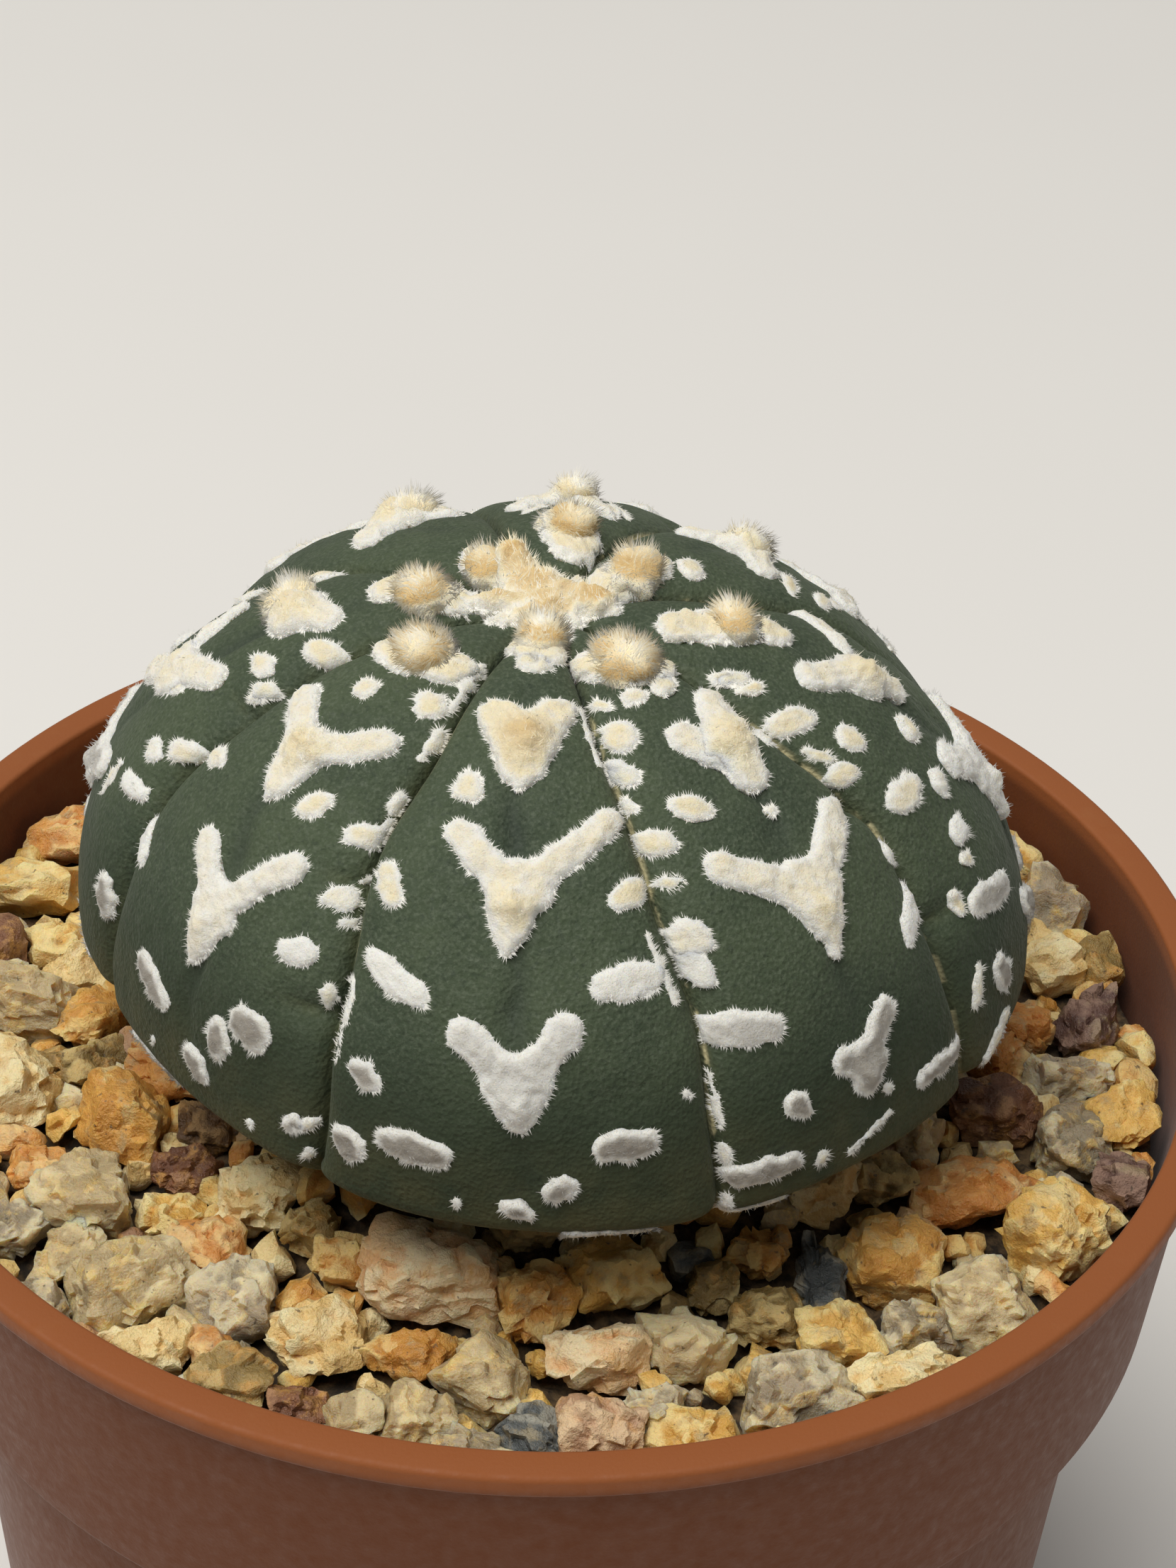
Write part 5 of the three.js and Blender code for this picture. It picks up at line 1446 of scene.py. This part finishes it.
def skin_material():
    s = Surface("cactus_skin")
    tone = s.mix(s.ramp(s.noise(7, 4), 0.3, 0.7), (0.042, 0.060, 0.034), (0.063, 0.085, 0.045))
    grain = s.ramp(s.noise(0.22, 3, 0.65), 0.42, 0.72)
    tone = s.tint(tone, grain, 0.5, (0.13, 0.155, 0.105))
    pits = s.ramp(s.noise(0.34, 3, 0.6), 0.46, 0.3)
    tone = s.tint(tone, pits, 0.4, (0.022, 0.034, 0.022))
    # Painted shade: the skin darker along the furrows, on top of their real dip
    tone = s.tint(tone, s.value("furrow"), 0.35, (0.03, 0.04, 0.032))
    # Painted shade: the lower skin darkened where less light reaches it; the olive-brown below is its own
    # colour
    low = s.value("low")
    tone = s.tint(tone, s.ramp(low, 0.0, 0.6), 0.8, (0.022, 0.034, 0.016))
    brown = s.math("MULTIPLY", s.ramp(low, 0.4, 1.0), s.ramp(s.noise(3, 4), 0.2, 0.75))
    tone = s.tint(tone, brown, 0.6, (0.10, 0.09, 0.035))
    edge = s.math("MULTIPLY", s.value("edge"), s.ramp(s.noise(1.2, 3), 0.3, 0.6))
    tone = s.tint(tone, edge, 0.4, (0.13, 0.135, 0.06))
    seam = s.math("MULTIPLY", s.value("seam"), s.ramp(s.noise(2.2, 4), 0.46, 0.56))
    tone = s.tint(tone, seam, 0.85, (0.68, 0.60, 0.34))
    s.colour(tone)
    s.roughness(s.ramp(s.noise(0.6), -0.8, 1.1))
    s.set(Specular_IOR_Level=0.3, Sheen_Weight=0.08, Sheen_Roughness=0.4, Sheen_Tint=(0.75, 0.85, 0.7, 1))
    s.bump(s.noise(1.4, 3), 0.16)
    s.bump(s.cells(0.26), 0.06)
    s.bump(s.noise(0.4, 4, 0.6), 0.1)
    return s.material


def wool_material(name):
    s = Surface(name)
    value = s.value("cream")
    cream = s.math("MULTIPLY", value, s.ramp(s.noise(0.8, 4), 0.0, 0.75))
    tone = s.mix(s.ramp(cream, 0.0, 0.6), (0.83, 0.82, 0.77), (0.83, 0.74, 0.52))
    tone = s.mix(s.ramp(value, 0.6, 1.25), tone, (0.66, 0.47, 0.22))
    # Painted shade: below zero, the wool low on the ribs greyed
    tone = s.mix(s.ramp(value, 0.0, -0.8), tone, (0.32, 0.295, 0.255))
    gap = s.ramp(s.noise(0.2, 4, 0.7), 0.48, 0.28)
    tone = s.tint(tone, gap, 0.35, (0.40, 0.35, 0.26))
    s.colour(tone)
    s.set(Roughness=0.95, Specular_IOR_Level=0.1, Sheen_Weight=0.1, Sheen_Roughness=0.6)
    return s


def felt_material():
    """The body of the wool: soft, and light passes a little way through it."""
    s = wool_material("wool_felt")
    s.set(Subsurface_Weight=0.45, Subsurface_Radius=(1.0, 0.8, 0.5), Subsurface_Scale=0.0006)
    s.bump(s.noise(0.25, 4, 0.65), 0.12)
    s.bump(s.noise(0.09, 3), 0.05)
    return s.material


def stone_material(kind):
    _, clear, main, dark, pale, stain = KINDS[kind]
    s = Surface("grit_" + kind)
    crystal = s.value("crystal")
    drift = s.math("ADD", s.noise(2.0, 4, 0.65), s.math("MULTIPLY", s.value("own"), 0.25))
    tone = s.mix(s.ramp(drift, 0.4, 0.8), dark, main)
    spread = s.math("ADD", s.noise(1.5, 5, 0.7), s.math("MULTIPLY", crystal, 0.14))
    tone = s.tint(tone, s.ramp(spread, 0.56, 0.76), 0.7, stain)
    shade = s.math("ADD", crystal, s.math("MULTIPLY", s.noise(0.7, 3), 0.5))
    tone = s.tint(tone, s.ramp(shade, 0.95, 1.3), 0.6, pale)
    tone = s.tint(tone, s.ramp(shade, 0.65, 0.35), 0.65, dark)
    rough = s.math("ADD", s.value("crust"), s.math("MULTIPLY", s.noise(0.4, 4, 0.7), 0.8))
    crust = s.ramp(rough, 0.7, 1.2)
    tone = s.tint(tone, crust, 0.65, pale)
    tone = s.tint(tone, s.ramp(s.noise(0.5, 2), 0.33, 0.26), 0.7, (0.09, 0.065, 0.04))
    s.colour(tone)
    s.roughness(s.ramp(s.math("ADD", crust, s.noise(0.7, 3)), -0.5, 2.0))
    s.set(Specular_IOR_Level=0.6)
    if clear >= 0.1:
        s.set(Subsurface_Weight=clear, Subsurface_Radius=(1.0, 0.62, 0.25), Subsurface_Scale=0.0011)
    s.bump(s.noise(0.35, 4, 0.65), 0.26)
    s.bump(s.noise(0.13, 3, 0.6), 0.07)
    return s.material


def bed_material():
    s = Surface("grit_bed")
    # Near black to dark brown: partly painted shade between the stones
    tone = s.mix(s.ramp(s.noise(1.0, 4), 0.35, 0.7), (0.02, 0.014, 0.008), (0.16, 0.10, 0.045))
    s.colour(tone)
    s.set(Roughness=0.95)
    s.bump(s.noise(0.5, 4), 0.3)
    return s.material


def pot_material():
    s = Surface("pot_plastic")
    tone = s.mix(s.noise(22, 3), (0.132, 0.037, 0.0095), (0.155, 0.045, 0.012))
    # Painted light: the lip's top lighter and redder than the wall below, as light from above falls on it
    lip = s.ramp(s.height(), (POT_HEIGHT - LIP_DEPTH) * MM, (POT_HEIGHT - 0.4 * LIP_DEPTH) * MM)
    tone = s.mix(lip, tone, (0.27, 0.082, 0.022))
    dust = s.ramp(s.noise(3.5, 5, 0.7), 0.55, 0.8)
    tone = s.tint(tone, dust, 0.1, (0.36, 0.18, 0.07))
    s.colour(tone)
    s.roughness(s.ramp(s.noise(0.8, 4, 0.6), -0.75, 1.25))
    s.set(Specular_IOR_Level=0.3, Sheen_Weight=0.12, Sheen_Roughness=0.35)
    s.bump(s.noise(0.2, 2), 0.02)
    s.bump(s.noise(5, 2), 0.04)
    return s.material


def soil_material():
    s = Surface("soil_mix")
    tone = s.mix(s.ramp(s.noise(1.4, 5), 0.35, 0.7), (0.016, 0.01, 0.006), (0.075, 0.045, 0.026))
    s.colour(tone)
    s.set(Roughness=1.0)
    s.bump(s.noise(0.9, 5), 0.5)
    return s.material


def add_hair_piece(hairs, name, material):
    """Hairs are as good as clear, so they cast no shadow."""
    piece = add_piece(hairs.mesh(name), material, "wool")
    piece.visible_shadow = False


def build():
    add_piece(skin_mesh(), skin_material(), "cactus_skin", "cactus_body")
    felt = felt_material()
    wool = wool_material("wool_hair").material
    pads, tufts, tuft_hairs, mark_hairs = wool_meshes()
    crown, crown_hairs = crown_wool()
    add_piece(pads.mesh("wool_marks"), felt, "wool")
    add_piece(tufts.mesh("wool_tufts"), felt, "wool")
    add_piece(crown.mesh("crown_cushion"), felt, "wool", "crown_wool")
    for group, hairs in mark_hairs.items():
        add_hair_piece(hairs, "mark_hairs_" + group, wool)
    add_hair_piece(tuft_hairs, "tuft_hairs", wool)
    add_hair_piece(crown_hairs, "crown_hairs", wool)
    add_piece(bed_mesh(), bed_material(), "grit", "gravel")
    for kind, gathered in grit_meshes().items():
        mesh = gathered.mesh("grit_" + kind)
        mesh.set_sharp_from_angle(angle=math.radians(SHARP_FROM))
        add_piece(mesh, stone_material(kind), "grit")
    pot = add_piece(pot_mesh(), pot_material(), "pot_plastic", "pot")
    cut_drains(pot)
    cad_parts["soil"].material_slots[0].material = soil_material()


# Floor, light and camera
CAMERA_PLACE = (2.37, -160.48, 196.25)
CAMERA_RIGHT = (0.9991, 0.0253, 0.0354)
CAMERA_UP = (-0.0435, 0.5798, 0.8136)
FOCAL_PIXELS = 4922
PHOTO_HEIGHT = 2212
SENSOR = 36.0
FLOOR_REACH = 4000


def add_floor():
    corners = FLOOR_REACH * np.array([[-1, -1, 0], [1, -1, 0], [1, 1, 0], [-1, 1, 0]])
    mesh = make_mesh("floor", corners, np.array([[0, 1, 2, 3]]))
    s = Surface("floor")
    s.colour(s.mix(s.noise(60, 2), (0.79, 0.77, 0.735), (0.81, 0.79, 0.755)))
    s.set(Roughness=0.9, Specular_IOR_Level=0.2)
    mesh.materials.append(s.material)
    floor = bpy.data.objects.new("floor", mesh)
    bpy.context.scene.collection.objects.link(floor)


# One soft lamp, in metres and watts
LAMP_PLACE = Vector((-0.33, -0.27, 1.25))
LAMP_TARGET = Vector((0, 0, 0.07))
LAMP_SIZE = 1.0
LAMP_POWER = 16.6


def add_lamp():
    light = bpy.data.lights.new("key", "AREA")
    light.shape = "DISK"
    light.size = LAMP_SIZE
    light.energy = LAMP_POWER
    light.color = (1.0, 0.985, 0.955)
    lamp = bpy.data.objects.new("key", light)
    bpy.context.scene.collection.objects.link(lamp)
    lamp.location = LAMP_PLACE
    lamp.rotation_euler = (LAMP_TARGET - LAMP_PLACE).to_track_quat("-Z", "Y").to_euler()


def add_camera():
    right = Vector(CAMERA_RIGHT).normalized()
    up = Vector(CAMERA_UP).normalized()
    back = right.cross(up).normalized()
    camera = bpy.data.cameras.new("camera")
    camera.sensor_width = SENSOR
    camera.lens = FOCAL_PIXELS / PHOTO_HEIGHT * SENSOR
    camera.clip_start = 0.01
    camera.clip_end = 20
    eye = bpy.data.objects.new("camera", camera)
    bpy.context.scene.collection.objects.link(eye)
    turn = Matrix((right, up, back)).transposed().to_4x4()
    eye.matrix_world = Matrix.Translation(Vector(CAMERA_PLACE) * MM) @ turn
    bpy.context.scene.camera = eye


# Light of the surroundings, weak low down in front and stronger high up behind
SKY_WAY = (0, 0.45, 0.89)
SKY_RANGE = {"From Min": -0.6, "From Max": 0.8, "To Min": 0.02, "To Max": 0.26}


def add_sky():
    world = bpy.data.worlds.new("world")
    world.use_nodes = True
    nodes = world.node_tree.nodes
    links = world.node_tree.links
    way = nodes.new("ShaderNodeTexCoord")
    along = nodes.new("ShaderNodeVectorMath")
    along.operation = "DOT_PRODUCT"
    along.inputs[1].default_value = SKY_WAY
    reach = nodes.new("ShaderNodeMapRange")
    for name, value in SKY_RANGE.items():
        reach.inputs[name].default_value = value
    links.new(way.outputs["Generated"], along.inputs[0])
    links.new(along.outputs["Value"], reach.inputs["Value"])
    links.new(reach.outputs["Result"], nodes["Background"].inputs["Strength"])
    nodes["Background"].inputs["Color"].default_value = (1.0, 0.99, 0.97, 1)
    bpy.context.scene.world = world


add_camera()
build()
add_floor()
add_lamp()
add_sky()
bpy.context.scene.view_settings.view_transform = "Standard"
